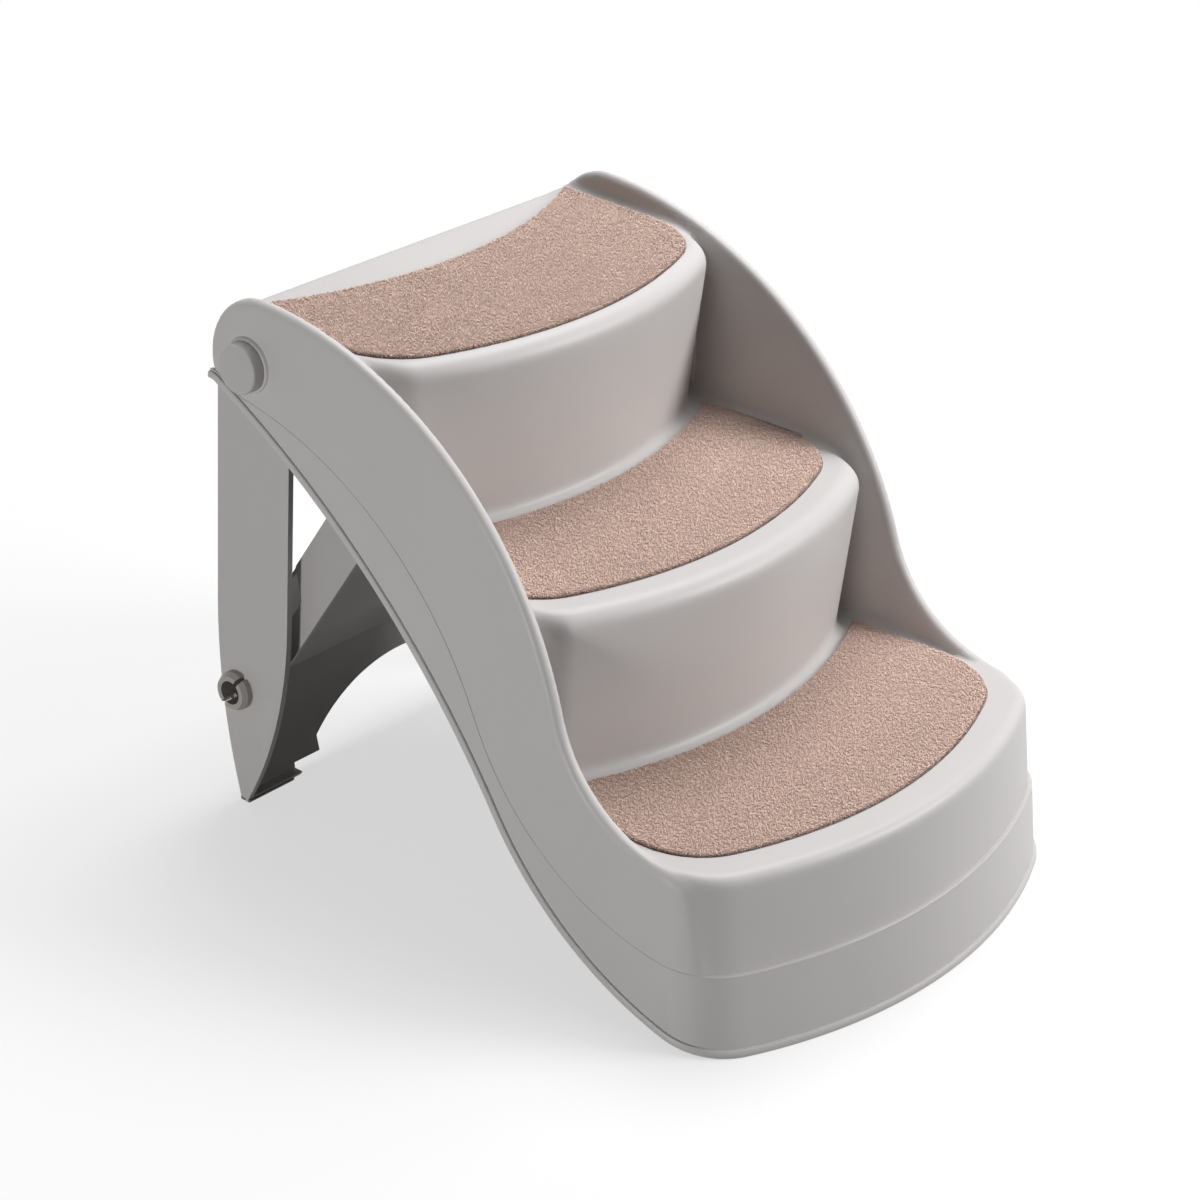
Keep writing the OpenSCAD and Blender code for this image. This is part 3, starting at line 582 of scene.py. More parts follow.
def new_object(name, points, faces, key):
    """A mesh object at the origin from points in millimetres."""
    mesh = bpy.data.meshes.new(name)
    mesh.from_pydata((np.asarray(points) * MM).tolist(), [], [list(map(int, f)) for f in faces])
    mesh.validate()
    thing = bpy.data.objects.new(name, mesh)
    bpy.context.scene.collection.objects.link(thing)
    thing.data.materials.append(material_of(key))
    return thing


def shade_smooth(thing, angle):
    """Smooth shading, with edges sharper than an angle kept crisp."""
    mesh = thing.data
    mesh.polygons.foreach_set("use_smooth", [True] * len(mesh.polygons))
    mesh.set_sharp_from_angle(angle=math.radians(angle))
    mesh.update()


def apply_modifiers(thing):
    """Turns an object's modifiers into its mesh."""
    graph = bpy.context.evaluated_depsgraph_get()
    mesh = bpy.data.meshes.new_from_object(thing.evaluated_get(graph))
    thing.modifiers.clear()
    thing.data = mesh


@contextmanager
def opened(thing):
    """An object's mesh, open for edits."""
    work = bmesh.new()
    work.from_mesh(thing.data)
    yield work
    work.to_mesh(thing.data)
    work.free()


def softened(thing, crisp=False):
    """Rounds a piece's sharp edges a little, with flat faces that stay flat to the eye where crisp."""
    edge = thing.modifiers.new("Softened edges", "BEVEL")
    edge.width = EDGE_ROUND
    edge.segments = 2
    edge.limit_method = "ANGLE"
    edge.angle_limit = math.radians(30)
    edge.harden_normals = crisp
    apply_modifiers(thing)


def settle_on(thing, body, slot, *nodes):
    """Gives a finished piece its body and hides the nodes that it stands for. The slot, meant for its finish,
    is not used.
    """
    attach(thing, body)
    if nodes:
        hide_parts(*nodes)


def turned(name, profile, side, centre, key, segments=96):
    """A round piece turned about a cross axis. The profile holds pairs of radius and distance out."""
    a = np.linspace(0, 2 * math.pi, segments, endpoint=False)
    rings = [np.stack([
        np.full(segments, side * out), centre[0] + radius * np.cos(a), centre[1] + radius * np.sin(a)], 1)
        for radius, out in profile]
    faces = []
    for k in range(len(profile)):
        near, far = k * segments, (k + 1) % len(profile) * segments
        for s in range(segments):
            t = (s + 1) % segments
            # Turned about on the left, so that the faces look outwards there too.
            faces.append([near + s, far + s, far + t, near + t][::side])
    thing = new_object(name, np.concatenate(rings), faces, key)
    with opened(thing) as work:
        bmesh.ops.remove_doubles(work, verts=work.verts, dist=MERGE)
        bmesh.ops.delete(work, geom=[edge for edge in work.edges if not edge.link_faces], context="EDGES")
        bmesh.ops.recalc_face_normals(work, faces=work.faces)
    shade_smooth(thing, 40)
    return thing


# Geometry node trees


def node_tree(name, inputs):
    """An empty geometry node tree with named inputs, its input sockets and its output socket."""
    tree = bpy.data.node_groups.new(name, "GeometryNodeTree")
    tree.interface.new_socket("Geometry", in_out="INPUT", socket_type="NodeSocketGeometry")
    for label, kind in inputs.items():
        tree.interface.new_socket(label, in_out="INPUT", socket_type="NodeSocket" + kind)
    tree.interface.new_socket("Geometry", in_out="OUTPUT", socket_type="NodeSocketGeometry")
    given = tree.nodes.new("NodeGroupInput").outputs
    result = tree.nodes.new("NodeGroupOutput").inputs[0]
    return tree, given, result


def finish_tree(tree, instances, given, result):
    """Turns the instances into a mesh with its material."""
    real = add(tree, "GeometryNodeRealizeInstances", {0: instances})[0]
    painted = add(tree, "GeometryNodeSetMaterial", {"Geometry": real, "Material": given["Material"]})[0]
    tree.links.new(painted, result)
    return tree


def run_nodes(thing, tree, values):
    """Runs a node tree on an object and keeps the result as its plain mesh."""
    modifier = thing.modifiers.new(tree.name, "NODES")
    modifier.node_group = tree
    for item in tree.interface.items_tree:
        if item.item_type == "SOCKET" and item.in_out == "INPUT" and item.name in values:
            modifier[item.identifier] = values[item.name]
    apply_modifiers(thing)


def pile_tree():
    """Pile on the top and edge of a carpet: tapered tufts that lean with the nap, a little more in clumps."""
    tree, given, result = node_tree("Carpet pile", {
        "Density": "Float", "Width": "Float", "Length": "Float", "Clump": "Float", "Seed": "Int",
        "Material": "Material"})
    height = add(tree, "ShaderNodeSeparateXYZ", {0: add(tree, "GeometryNodeInputNormal")[0]})["Z"]
    not_below = add(tree, "FunctionNodeCompare", {0: height, 1: -0.5}, operation="GREATER_THAN")[0]
    points = add(tree, "GeometryNodeDistributePointsOnFaces", {
        "Mesh": given["Geometry"], "Selection": not_below, "Density": given["Density"],
        "Seed": given["Seed"]})
    # One fibre is too fine to show in the render, so each tuft stands for a bundle of them.
    radius = add(tree, "ShaderNodeMath", {0: given["Width"], 1: 0.5}, operation="MULTIPLY")[0]
    tuft = add(tree, "GeometryNodeMeshCone", {
        "Vertices": 3, "Radius Top": 0.0, "Radius Bottom": radius, "Depth": given["Length"]})["Mesh"]
    place = add(tree, "GeometryNodeInputPosition")[0]
    up = add(tree, "ShaderNodeSeparateXYZ", {0: place})["Z"]
    share = add(tree, "ShaderNodeMath", {0: up, 1: given["Length"]}, operation="DIVIDE")[0]
    tuft = add(tree, "GeometryNodeSetShadeSmooth", {0: tuft})[0]
    # The share of the way up each tuft, which the carpet's material uses to paint shade towards the tuft's
    # foot.
    tuft = add(tree, "GeometryNodeStoreNamedAttribute", {"Geometry": tuft, "Name": "tip", "Value": share})[0]
    fine = add(tree, "ShaderNodeMath", {0: 1.0, 1: given["Clump"]}, operation="DIVIDE")[0]
    flow = add(tree, "ShaderNodeTexNoise", {"Vector": place, "Scale": fine, "Detail": 1.0})["Color"]
    # The lean in radians about X and Y: the clumps swing it about the lay of the nap, and each tuft strays.
    flow = add(tree, "ShaderNodeVectorMath", {
        0: flow, 1: (1.2, 1.2, 0), 2: (-0.25, -0.3, 0)}, operation="MULTIPLY_ADD")[0]
    stray = add(tree, "FunctionNodeRandomValue", {
        0: (-0.5, -0.5, -0.45), 1: (0.5, 0.5, 0.45), "Seed": given["Seed"]}, data_type="FLOAT_VECTOR")[0]
    lean = add(tree, "ShaderNodeVectorMath", {0: flow, 1: stray}, operation="ADD")[0]
    lean = add(tree, "FunctionNodeEulerToRotation", {0: lean})[0]
    turn = add(tree, "FunctionNodeRotateRotation", {
        0: points["Rotation"], 1: lean}, rotation_space="LOCAL")[0]
    scale = add(tree, "FunctionNodeRandomValue", {
        2: 0.7, 3: 1.15, "Seed": given["Seed"]}, data_type="FLOAT")[1]
    pile = add(tree, "GeometryNodeInstanceOnPoints", {
        "Points": points["Points"], "Instance": tuft, "Rotation": turn, "Scale": scale})[0]
    shade = add(tree, "FunctionNodeRandomValue", {"Seed": given["Seed"]}, data_type="FLOAT")[1]
    pile = add(tree, "GeometryNodeStoreNamedAttribute", {
        "Geometry": pile, "Name": "shade", "Value": shade}, domain="INSTANCE")[0]
    return finish_tree(tree, pile, given, result)


def row_tree():
    """Copies of a piece in a row across the body, each set back as a bowed wall asks."""
    tree, given, result = node_tree("Row behind a bowed wall", {
        "Count": "Int", "Pitch": "Float", "Bow": "Float", "Material": "Material"})
    pitch, bow = given["Pitch"], given["Bow"]
    gaps = add(tree, "ShaderNodeMath", {0: given["Count"], 1: 1}, operation="SUBTRACT")[0]
    half = add(tree, "ShaderNodeMath", {0: gaps, 1: -0.5}, operation="MULTIPLY")[0]
    start = add(tree, "ShaderNodeMath", {0: half, 1: pitch}, operation="MULTIPLY")[0]
    row = add(tree, "GeometryNodeMeshLine", {
        "Count": given["Count"], "Start Location": add(tree, "ShaderNodeCombineXYZ", {0: start})[0],
        "Offset": add(tree, "ShaderNodeCombineXYZ", {0: pitch})[0]})[0]
    across = add(tree, "ShaderNodeSeparateXYZ", {0: add(tree, "GeometryNodeInputPosition")[0]})["X"]
    across = add(tree, "ShaderNodeMath", {0: across, 1: across}, operation="MULTIPLY")[0]
    whole = add(tree, "ShaderNodeMath", {0: bow, 1: bow}, operation="MULTIPLY")[0]
    rest = add(tree, "ShaderNodeMath", {0: whole, 1: across}, operation="SUBTRACT")[0]
    rest = add(tree, "ShaderNodeMath", {0: rest}, operation="SQRT")[0]
    back = add(tree, "ShaderNodeMath", {0: bow, 1: rest}, operation="SUBTRACT")[0]
    back = add(tree, "ShaderNodeCombineXYZ", {1: back})[0]
    row = add(tree, "GeometryNodeSetPosition", {"Geometry": row, "Offset": back})[0]
    copies = add(tree, "GeometryNodeInstanceOnPoints", {"Points": row, "Instance": given["Geometry"]})[0]
    return finish_tree(tree, copies, given, result)


# Outlines of the carpets, in millimetres


def carpet_outline(step):
    """Outline of a carpet seen from above, anticlockwise from the middle of its front edge."""
    carpet = bpy.context.scene.stairs_carpet
    front, back, half, rear_half, rear_circle, far = step
    bow = np.array([0, front + carpet.bow_r])
    low, high = np.array([half, front + carpet.corner_r]), np.array([rear_half, back])
    along = (high - low) / np.linalg.norm(high - low)
    inward = np.array([-along[1], along[0]])
    start = low + carpet.corner_r * inward - bow
    slope = start @ along
    span = (carpet.bow_r - carpet.corner_r) ** 2 - start @ start
    corner = bow + start + (-slope - math.sqrt(slope ** 2 + span)) * along
    turn = angle_of(corner - bow)
    centre_y, radius = rear_circle
    rear_y = min(centre_y - math.sqrt(radius ** 2 - rear_half ** 2), far)
    rear_x = math.sqrt(radius ** 2 - (centre_y - rear_y) ** 2)
    wide = angle_of((rear_x, rear_y - centre_y))
    right = np.concatenate([
        arc(bow, carpet.bow_r, -90, turn, 50),
        arc(corner, carpet.corner_r, turn, angle_of(-inward), 24)[1:],
        np.linspace(high, (rear_half, rear_y), 12),
        arc((0, centre_y), radius, wide, -90, 50)])
    # A point within 0.2 mm of the one before it is left out.
    right = right[np.linalg.norm(np.diff(right, axis=0, prepend=right[:1] - 1), axis=1) > 0.2]
    left = right[::-1] * (-1, 1)
    return np.concatenate([right, left[1:-1]])


def carpet_steps():
    """What each carpet's outline takes: front, back, half widths, circle behind it and its furthest point."""
    size = bpy.context.scene.stairs_body
    foot_2, foot_3 = size.riser_2 - size.depth / 2, size.depth / 2 - size.riser_3
    clear = size.riser_r + 9.4  # the carpet ends in front of the riser's foot fillet
    rear = size.depth / 2 - 50  # end of the upper carpet, in front of the back edge
    return {
        "lower": (size.tread_1, (-201, -43, 171, 162.5, (foot_2 + size.riser_r, clear), 1e3)),
        "middle": (size.tread_2, (-50.5, 100, 165, 157.5, (foot_3 + size.riser_r, clear), 1e3)),
        "upper": (size.tread_3, (78.5, rear, 159.5, 159.5, (rear + size.riser_r, size.riser_r), 236)),
    }


def grown(outline, by):
    """A closed outline moved outwards by a distance."""
    side = np.roll(outline, -1, axis=0) - outline
    side /= np.linalg.norm(side, axis=1)[:, None]
    out = np.stack([side[:, 1], -side[:, 0]], 1)
    out = out + np.roll(out, 1, axis=0)
    out /= np.linalg.norm(out, axis=1)[:, None]
    return outline + by * out


def ring_faces(rings, count):
    """Faces of a closed body made of rings of points: one over each end and the sides between."""
    last = (rings - 1) * count
    faces = [list(range(count))[::-1], [last + k for k in range(count)]]
    for low in range(0, last, count):
        for k in range(count):
            m = (k + 1) % count
            faces.append([low + k, low + m, low + count + m, low + count + k])
    return faces


def prism(outline, levels):
    """Points and faces of a closed block over an outline, one ring at each level."""
    points = [(x, y, z) for z in levels for x, y in outline]
    return points, ring_faces(len(levels), len(outline))


# Pieces


class STAIRS_OT_shell(bpy.types.Operator):
    """The moulded shell: steps, cheeks and front wall in one smooth skin with its wall thickness"""

    bl_idname = "stairs.shell"
    bl_label = "Moulded shell"

    def execute(self, context):
        size = context.scene.stairs_body
        solid = BodySolid()

        def whole(x, y, z):
            return np.maximum(solid(x, y, z), -solid.below(y, z))

        margin = 2 * size.cell
        reach = size.width / 2 + margin
        low = [-reach, -size.depth / 2 - margin, -margin]
        high = [reach, size.depth / 2 + margin, size.height + margin]
        points, quads = drawn_skin(whole, low, high, size.cell)
        # What lies deeper than about half a cell belongs to the cut, not to the skin.
        outside = solid(*points.T) > -0.45 * size.cell
        middle = points[quads].mean(axis=1)
        kept = outside[quads].all(axis=1) & (solid(*middle.T) > -solid.below(*middle.T[1:]))
        kept[kept] = self.well_held(quads[kept])
        used, quads = np.unique(quads[kept], return_inverse=True)
        quads = quads.reshape(-1, 4)
        points = settled(points[used], quads, solid, lambda x, y, z: solid.below(y, z))
        shell = new_object("body_shell", points, quads, "body")
        wall = shell.modifiers.new("Wall", "SOLIDIFY")
        wall.thickness = size.wall * MM
        wall.offset = -1
        wall.use_even_offset = False
        apply_modifiers(shell)
        for corner in shell.data.vertices:
            corner.co.z = max(corner.co.z, 0)
        self.recesses(context, shell)
        shade_smooth(shell, 50)
        settle_on(shell, "stairs", "body_plastic", "stair_body")
        return {"FINISHED"}

    def well_held(self, quads):
        """Which quads have at least two neighbours; the others are scraps along the cut."""
        held = np.ones(len(quads), bool)
        for _ in range(3):
            kept = np.flatnonzero(held)
            sides = np.sort(np.stack([quads[kept][:, [k, (k + 1) % 4]] for k in range(4)], 1), axis=2)
            _, index, uses = np.unique(sides.reshape(-1, 2), axis=0, return_inverse=True, return_counts=True)
            shared = (uses[index.reshape(-1)] > 1).reshape(-1, 4).sum(axis=1)
            held[kept[shared < 2]] = False
        return held

    def recesses(self, context, shell):
        """Cuts the shallow recess of each carpet into its step."""
        carpet = context.scene.stairs_carpet
        points, faces = [], []
        for tread, step in carpet_steps().values():
            outline = grown(carpet_outline(step), carpet.gap)
            block, sides = prism(outline, (tread - carpet.recess, tread + CUTTER_RISE))
            faces += [[len(points) + corner for corner in side] for side in sides]
            points += block
        cutter = new_object("recess_cutter", points, faces, "body")
        cut = shell.modifiers.new("Recesses", "BOOLEAN")
        cut.operation = "DIFFERENCE"
        cut.solver = "EXACT"
        cut.object = cutter
        apply_modifiers(shell)
        bpy.data.objects.remove(cutter)


class STAIRS_OT_band(bpy.types.Operator):
    """The raised lower band with its crease and the bead along the bottom edge, round the sides and front"""

    bl_idname = "stairs.band"
    bl_label = "Lower band and bead"

    def execute(self, context):
        size = context.scene.stairs_body
        solid = BodySolid()
        inner = -0.92 * size.wall  # the band's inner side lies within the shell's wall
        # Corners of the section: the curve that one follows, its height above it and how far it stands out.
        profile = (
            ("crease", 0.0, inner), ("crease", 0.0, 0.0), ("crease", -0.45, size.band_out),
            ("lip", 1.4, size.band_out), ("lip", 0.8, size.band_out - 0.4), ("lip", 0.1, size.band_out - 0.3),
            ("lip", -0.1, size.bead_out - 0.8), ("lip", -1.0, size.bead_out - 0.2),
            ("edge", 0.9, size.bead_out - 0.2), ("edge", 0.0, size.bead_out - 0.6), ("edge", 0.0, inner))
        rings = []
        for part, t in ([("side", t) for t in np.linspace(1, 0, 90)]
                        + [("corner", t) for t in np.linspace(0, 1, 16)[1:]]
                        + [("front", t) for t in np.linspace(0, 1, 32)[1:]]):
            rings.append([self.point(solid, part, t, row) for row in profile])
        left = np.array(rings)
        rings = np.concatenate([left, (left * (-1, 1, 1))[-2::-1]])
        band = new_object("body_band", rings.reshape(-1, 3), ring_faces(len(rings), len(profile)), "body")
        with opened(band) as work:
            bmesh.ops.recalc_face_normals(work, faces=work.faces)
        shade_smooth(band, 35)
        settle_on(band, "stairs", "body_plastic")
        return {"FINISHED"}

    def level(self, size, curve, y):
        """Height of the bottom edge, of the bead's upper edge or of the crease at a place along the side."""
        height = np.interp(y, *bottom_points(0.15 if curve == "edge" else size.bead_height).T)
        if curve == "crease":
            # At least 1.2 mm of the band is left between the bead and the crease.
            height = max(height + 1.2, np.interp(y, *crease_points().T))
        return float(height)

    def point(self, solid, part, t, row):
        """A point of the band's section at a place along its path."""
        size = solid.size
        curve, lift, out = row
        rear, z = size.depth / 2 - 1.2, 0.0  # the band ends just before the back of the cheek
        corner_r, front_r = size.front_corner + out, size.front_bow + out
        # The walls lean, so the place and the height of the point are found in turns.
        for _ in range(6):
            w, centre, drop = solid.plan(z)
            turn = math.atan2(drop, w)
            if part == "side":
                x, y = -(w + corner_r), centre - drop + t * (rear - centre + drop)
            elif part == "corner":
                a = math.pi + t * turn
                x, y = -w + corner_r * math.cos(a), centre - drop + corner_r * math.sin(a)
            else:
                a = math.pi + turn + t * (math.pi / 2 - turn)
                x, y = front_r * math.cos(a), centre + front_r * math.sin(a)
            z = self.level(size, curve, y) + lift
        return x, y, z


class STAIRS_OT_hinge(bpy.types.Operator):
    """The round bosses of the body and the hinge pins with their flat round caps"""

    bl_idname = "stairs.hinge"
    bl_label = "Hinge bosses and caps"

    def execute(self, context):
        size = context.scene.stairs_body
        pivot = (size.depth / 2 - 35, size.height - 46)
        wall = size.width / 2 - size.bead_out - size.side_lean / size.height * pivot[1]
        boss_out = wall + 1.7
        boss_in = boss_out - 5.4
        cap_in = boss_out + 0.03
        cap_top = boss_out + 9.5
        pin_end = boss_in - 3.5 - 2.5 - 0.3
        hole_r, pin_r, bore_r = 2.55, 6, 6.1
        # Pairs of radius and distance out, as turned takes them.
        boss_lip = arc((17.8, boss_out - 1.0), 1.0, 0, 90, 4)
        cap_lip = (*arc((16.5, cap_in + 0.6), 0.6, -90, 0, 3)[1:], *arc((14.9, cap_top - 2.3), 2.0, 0, 90, 7))
        for side, word in ((LEFT, "left"), (RIGHT, "right")):
            boss = turned(f"body_boss_{word}", [
                (bore_r, boss_in), (19, boss_in), (19.6, wall - 0.9), (19.1, wall + 0.3),
                *boss_lip, (bore_r, boss_out)], side, pivot, "body")
            settle_on(boss, "stairs", "body_plastic")
            cap = turned(f"hinge_cap_{word}", [
                (hole_r, pin_end), (5.6, pin_end), (pin_r, pin_end + 0.4), (pin_r, cap_in), (16.5, cap_in),
                *cap_lip, (9, cap_top - 0.08), (0, cap_top), (0, boss_out + 2), (hole_r, boss_out + 2)],
                side, pivot, "pin")
            settle_on(cap, "stairs", "pin_plastic", f"hinge_pin_{word}")
        return {"FINISHED"}


class STAIRS_OT_leg(bpy.types.Operator):
    """The leg frame, its side walls wide up to the hinge, and the brace, both with softened edges"""

    bl_idname = "stairs.leg"
    bl_label = "Leg frame and brace"

    def execute(self, context):
        for name, node, body in (("leg_frame", "rear_leg", "leg"), ("brace_channel", "lock_brace", "brace")):
            thing = bpy.data.objects.new(name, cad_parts[node].data.copy())
            context.scene.collection.objects.link(thing)
            with opened(thing) as work:
                bmesh.ops.remove_doubles(work, verts=work.verts, dist=MERGE)
                if body == "leg":
                    for corner in work.verts:
                        if SHOULDER[0] < corner.co.z < SHOULDER[1]:
                            corner.co.z += SHOULDER_LIFT
                bmesh.ops.dissolve_limit(
                    work, angle_limit=math.radians(0.5), use_dissolve_boundaries=False,
                    verts=work.verts, edges=work.edges)
            thing.data.materials.clear()
            thing.data.materials.append(material_of(body))
            shade_smooth(thing, 30)
            softened(thing, crisp=True)
            settle_on(thing, body, f"{body}_plastic", node)
        return {"FINISHED"}


class STAIRS_OT_inside(bpy.types.Operator):
    """Ribs under the lower step, guides for the brace and ledges for the rubber pads"""

    bl_idname = "stairs.inside"
    bl_label = "Ribs, guides and ledges"

    def execute(self, context):
        size = context.scene.stairs_body
        tree = row_tree()
        wall_y = size.bead_out - size.depth / 2
        front = wall_y + size.front_lean * size.tread_1 / size.height + size.wall / 2
        rib_long = size.riser_2 - size.depth / 2 - front - 3 * size.wall - size.front_edge
        rib_high = 18.5
        under = size.tread_1 - size.wall / 2
        pad_bow = size.front_bow - size.wall - 14
        pad_front = wall_y + size.front_bow - pad_bow
        ledge, ledge_at = (14, 21, size.wall), (-3.5, 3.05 + size.wall / 2)
        guide_y = size.depth / 2 - size.riser_3 + size.wall / 2
        # Name, count, pitch, radius of the wall and its front, box, and the box's middle behind that front.
        rows = (
            ("body_tread_rib", 4, 70, size.front_bow, front, (size.wall, rib_long, rib_high),
             (rib_long / 2 + size.front_edge, under - rib_high / 2)),
            ("body_pad_ledge_inner", 2, 90, pad_bow, pad_front, ledge, ledge_at),
            ("body_pad_ledge_outer", 2, 240, pad_bow, pad_front, ledge, ledge_at),
            ("body_brace_guide", 2, 320.9, size.riser_r, guide_y, (size.wall, 24, 36), (12, 271)),
        )
        for name, count, pitch, bow, start, box, (y, z) in rows:
            rib = new_object(name, *self.rib(box, y + start, z), "body")
            softened(rib)
            run_nodes(rib, tree, {
                "Count": count, "Pitch": pitch * MM, "Bow": bow * MM, "Material": material_of("body")})
            shade_smooth(rib, 40)
            settle_on(rib, "stairs", "body_plastic")
        return {"FINISHED"}

    def rib(self, box, y, z):
        """A rib over the middle that is drawn in by half a degree towards its free edge, as a mould asks."""
        wide, long, high = (side / 2 for side in box)
        draft = math.tan(math.radians(0.5)) * high
        ring = [(-1, -1), (1, -1), (1, 1), (-1, 1)]
        points = [(u * (wide - draft), y + v * long, z - high) for u, v in ring]
        points += [(u * wide, y + v * long, z + high) for u, v in ring]
        return points, ring_faces(2, 4)


class STAIRS_OT_carpets(bpy.types.Operator):
    """The three carpet pads: a felt backing in its recess and a pile of short tufts"""

    bl_idname = "stairs.carpets"
    bl_label = "Carpet pads"

    def execute(self, context):
        carpet = context.scene.stairs_carpet
        tree = pile_tree()
        for turn, (word, (tread, step)) in enumerate(carpet_steps().items()):
            outline = carpet_outline(step)
            low = tread - carpet.sunk
            felt = prism(grown(outline, -FELT_IN), (low, low + 0.7 * carpet.backing, low + carpet.backing))
            backing = new_object(f"carpet_{word}_backing", *felt, "backing")
            shade_smooth(backing, 30)
            pile = new_object(f"carpet_{word}_pile", *felt, "carpet")
            run_nodes(pile, tree, {
                "Density": float(carpet.tufts), "Width": carpet.tuft_width * MM,
                "Length": carpet.tuft_length * MM, "Clump": CLUMP, "Seed": carpet.seed + turn,
                "Material": material_of("carpet")})
            settle_on(backing, "stairs", "carpet", f"carpet_{word}")
            settle_on(pile, "stairs", "carpet")
        return {"FINISHED"}


class STAIRS_OT_finishes(bpy.types.Operator):
    """Finishes of the pieces that keep their construction shape"""

    bl_idname = "stairs.finishes"
    bl_label = "Finishes of the fittings"

    def execute(self, context):
        keys = {
            "rear_leg": "leg", "lock_brace": "brace", "hinge_pin": "pin", "hinge_screw": "screw",
            "hinge_washer": "washer", "snap_bush": "bush", "foot_pad": "foot", "front_grip_pads": "pad",
            "grip_strips": "tape", "stair_body": "body", "carpet": "carpet"}
        for name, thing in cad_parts.items():
            key = next(value for start, value in keys.items() if name.startswith(start))
            thing.data.materials.clear()
            thing.data.materials.append(material_of(key))
        return {"FINISHED"}


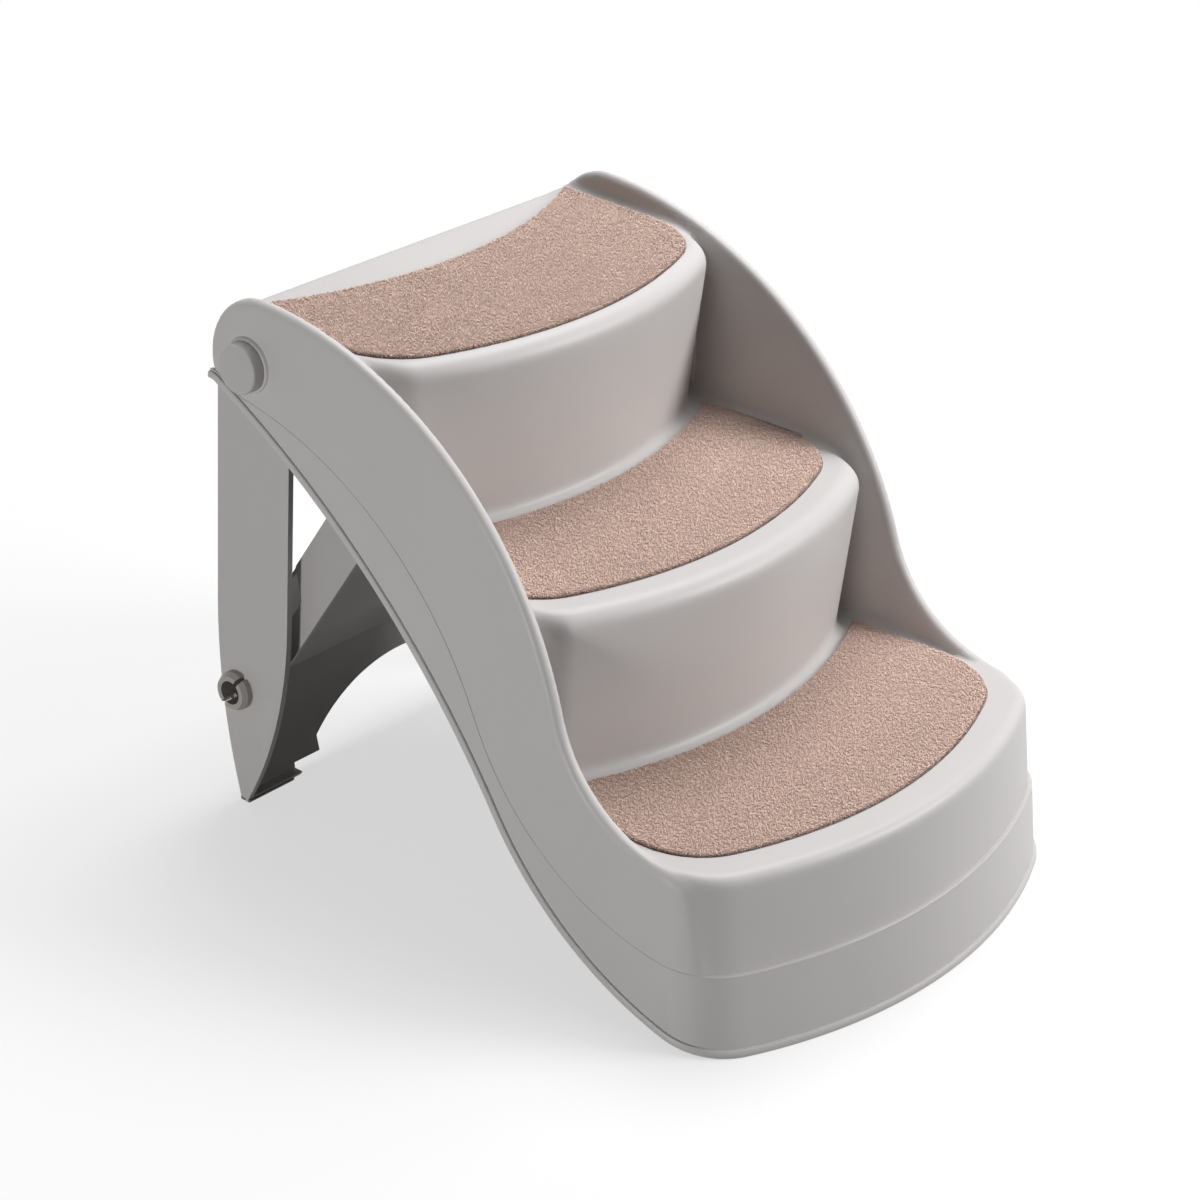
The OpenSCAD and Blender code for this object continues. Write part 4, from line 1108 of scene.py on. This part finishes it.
class STAIRS_OT_studio(bpy.types.Operator):
    """Camera at the photograph's angle, a pale floor and soft lights"""

    bl_idname = "stairs.studio"
    bl_label = "Studio"

    def execute(self, context):
        view = context.scene.stairs_studio
        a, e, r = (math.radians(v) for v in (view.azimuth, view.elevation, view.roll))
        back = Vector((math.sin(a) * math.cos(e), -math.cos(a) * math.cos(e), math.sin(e)))
        right = Vector((math.cos(a), math.sin(a), 0))
        up = back.cross(right)
        turned_right = math.cos(r) * right + math.sin(r) * up
        turned_up = -math.sin(r) * right + math.cos(r) * up
        lens = bpy.data.cameras.new("Camera")
        lens.lens = view.lens
        lens.sensor_width = 36
        lens.clip_end = 50
        camera = bpy.data.objects.new("Camera", lens)
        context.scene.collection.objects.link(camera)
        camera.matrix_world = (
            Matrix.Translation(Vector(view.target) + back * view.distance)
            @ Matrix((turned_right, turned_up, back)).transposed().to_4x4())
        context.scene.camera = camera
        self.floor(context)
        self.lights(context)
        return {"FINISHED"}

    def floor(self, context):
        """Plain floor that shows white to the camera outside the shadow."""
        mesh = bpy.data.meshes.new("floor")
        reach = 12  # metres, further than the camera sees
        ring = [(-reach, -reach, 0), (reach, -reach, 0), (reach, reach, 0), (-reach, reach, 0)]
        mesh.from_pydata(ring, [], [(0, 1, 2, 3)])
        floor = bpy.data.objects.new("floor", mesh)
        context.scene.collection.objects.link(floor)
        finishes = context.scene.stairs_finishes
        material, tree, shader, place = new_material("Pale studio floor")
        away = add(tree, "ShaderNodeVectorMath", {0: place}, operation="LENGTH")["Value"]
        away = add(tree, "ShaderNodeMapRange", {
            "Value": away, "From Min": 0.4, "From Max": 0.9, "To Min": 0.62},
            interpolation_type="SMOOTHSTEP")["Result"]
        seen = direct_ray(tree)
        tint = add(tree, "ShaderNodeMix", {
            "Factor": seen, "A": linear(finishes.bounce), "B": linear(finishes.floor)}, data_type="RGBA")
        fill(tree, shader, {"Base Color": tint["Result"], "Roughness": 0.9, "Specular IOR Level": 0.1})
        share = add(tree, "ShaderNodeMath", {0: away, 1: seen}, operation="MULTIPLY")[0]
        white = add(tree, "ShaderNodeEmission")[0]
        ground = add(tree, "ShaderNodeMixShader", {0: share, 1: shader.outputs[0], 2: white})[0]
        fill(tree, tree.nodes["Material Output"], {"Surface": ground})
        mesh.materials.append(material)

    def lights(self, context):
        """A large lamp from above, a key from the front right, a low fill from the left and a pale sky."""
        # Name, place in metres, width in metres and power in watts.
        lamps = (
            ("Top lamp", (0.9, 0.35, 2.4), 1.8, 56),
            ("Front lamp", (1.8, -2.2, 1.5), 1.3, 70),
            ("Side lamp", (-2.5, 0.1, 0.15), 0.4, 26),
        )
        for name, place, width, power in lamps:
            data = bpy.data.lights.new(name, "AREA")
            data.shape = "DISK"
            data.size = width
            data.energy = power
            lamp = bpy.data.objects.new(name, data)
            lamp.matrix_world = (
                Matrix.Translation(place)
                @ (LAMP_TARGET - Vector(place)).to_track_quat("-Z", "Y").to_matrix().to_4x4())
            context.scene.collection.objects.link(lamp)
        world = bpy.data.worlds.new("Studio")
        context.scene.world = world
        world.use_nodes = True
        tree = world.node_tree
        tree.nodes.clear()
        # The sky lights the object faintly, and the camera sees it white.
        white = (1, 1, 1, 1)
        lit = add(tree, "ShaderNodeBackground", {"Color": white, "Strength": 0.1})[0]
        seen = add(tree, "ShaderNodeBackground", {"Color": white, "Strength": 1.0})[0]
        either = add(tree, "ShaderNodeMixShader", {0: direct_ray(tree), 1: lit, 2: seen})[0]
        add(tree, "ShaderNodeOutputWorld", {"Surface": either})
        context.scene.view_settings.view_transform = "Standard"


class STAIRS_PT_panel(bpy.types.Panel):
    """Lists the steps that build the looks"""

    bl_idname = "STAIRS_PT_panel"
    bl_label = "Pet stairs"
    bl_space_type = "VIEW_3D"
    bl_region_type = "UI"
    bl_category = "Pet stairs"

    def draw(self, context):
        for operator in OPERATORS:
            self.layout.operator(operator.bl_idname)


OPERATORS = (
    STAIRS_OT_finishes, STAIRS_OT_shell, STAIRS_OT_band, STAIRS_OT_hinge, STAIRS_OT_leg, STAIRS_OT_inside,
    STAIRS_OT_carpets, STAIRS_OT_studio)
SETTINGS = {
    "stairs_body": BodySizes, "stairs_carpet": CarpetSizes,
    "stairs_finishes": Finishes, "stairs_studio": StudioSizes}


def register():
    """Registers the settings, the operators and the panel."""
    for name, group in SETTINGS.items():
        bpy.utils.register_class(group)
        setattr(bpy.types.Scene, name, PointerProperty(type=group))
    for kind in (*OPERATORS, STAIRS_PT_panel):
        bpy.utils.register_class(kind)


def unregister():
    """Takes the panel, the operators and the settings away again."""
    for kind in reversed((*OPERATORS, STAIRS_PT_panel)):
        bpy.utils.unregister_class(kind)
    for name, group in SETTINGS.items():
        delattr(bpy.types.Scene, name)
        bpy.utils.unregister_class(group)


def main():
    """Builds every piece in order."""
    register()
    bpy.ops.stairs.finishes()
    bpy.ops.stairs.shell()
    bpy.ops.stairs.band()
    bpy.ops.stairs.hinge()
    bpy.ops.stairs.leg()
    bpy.ops.stairs.inside()
    bpy.ops.stairs.carpets()
    bpy.ops.stairs.studio()


if __name__ == "__main__":
    main()
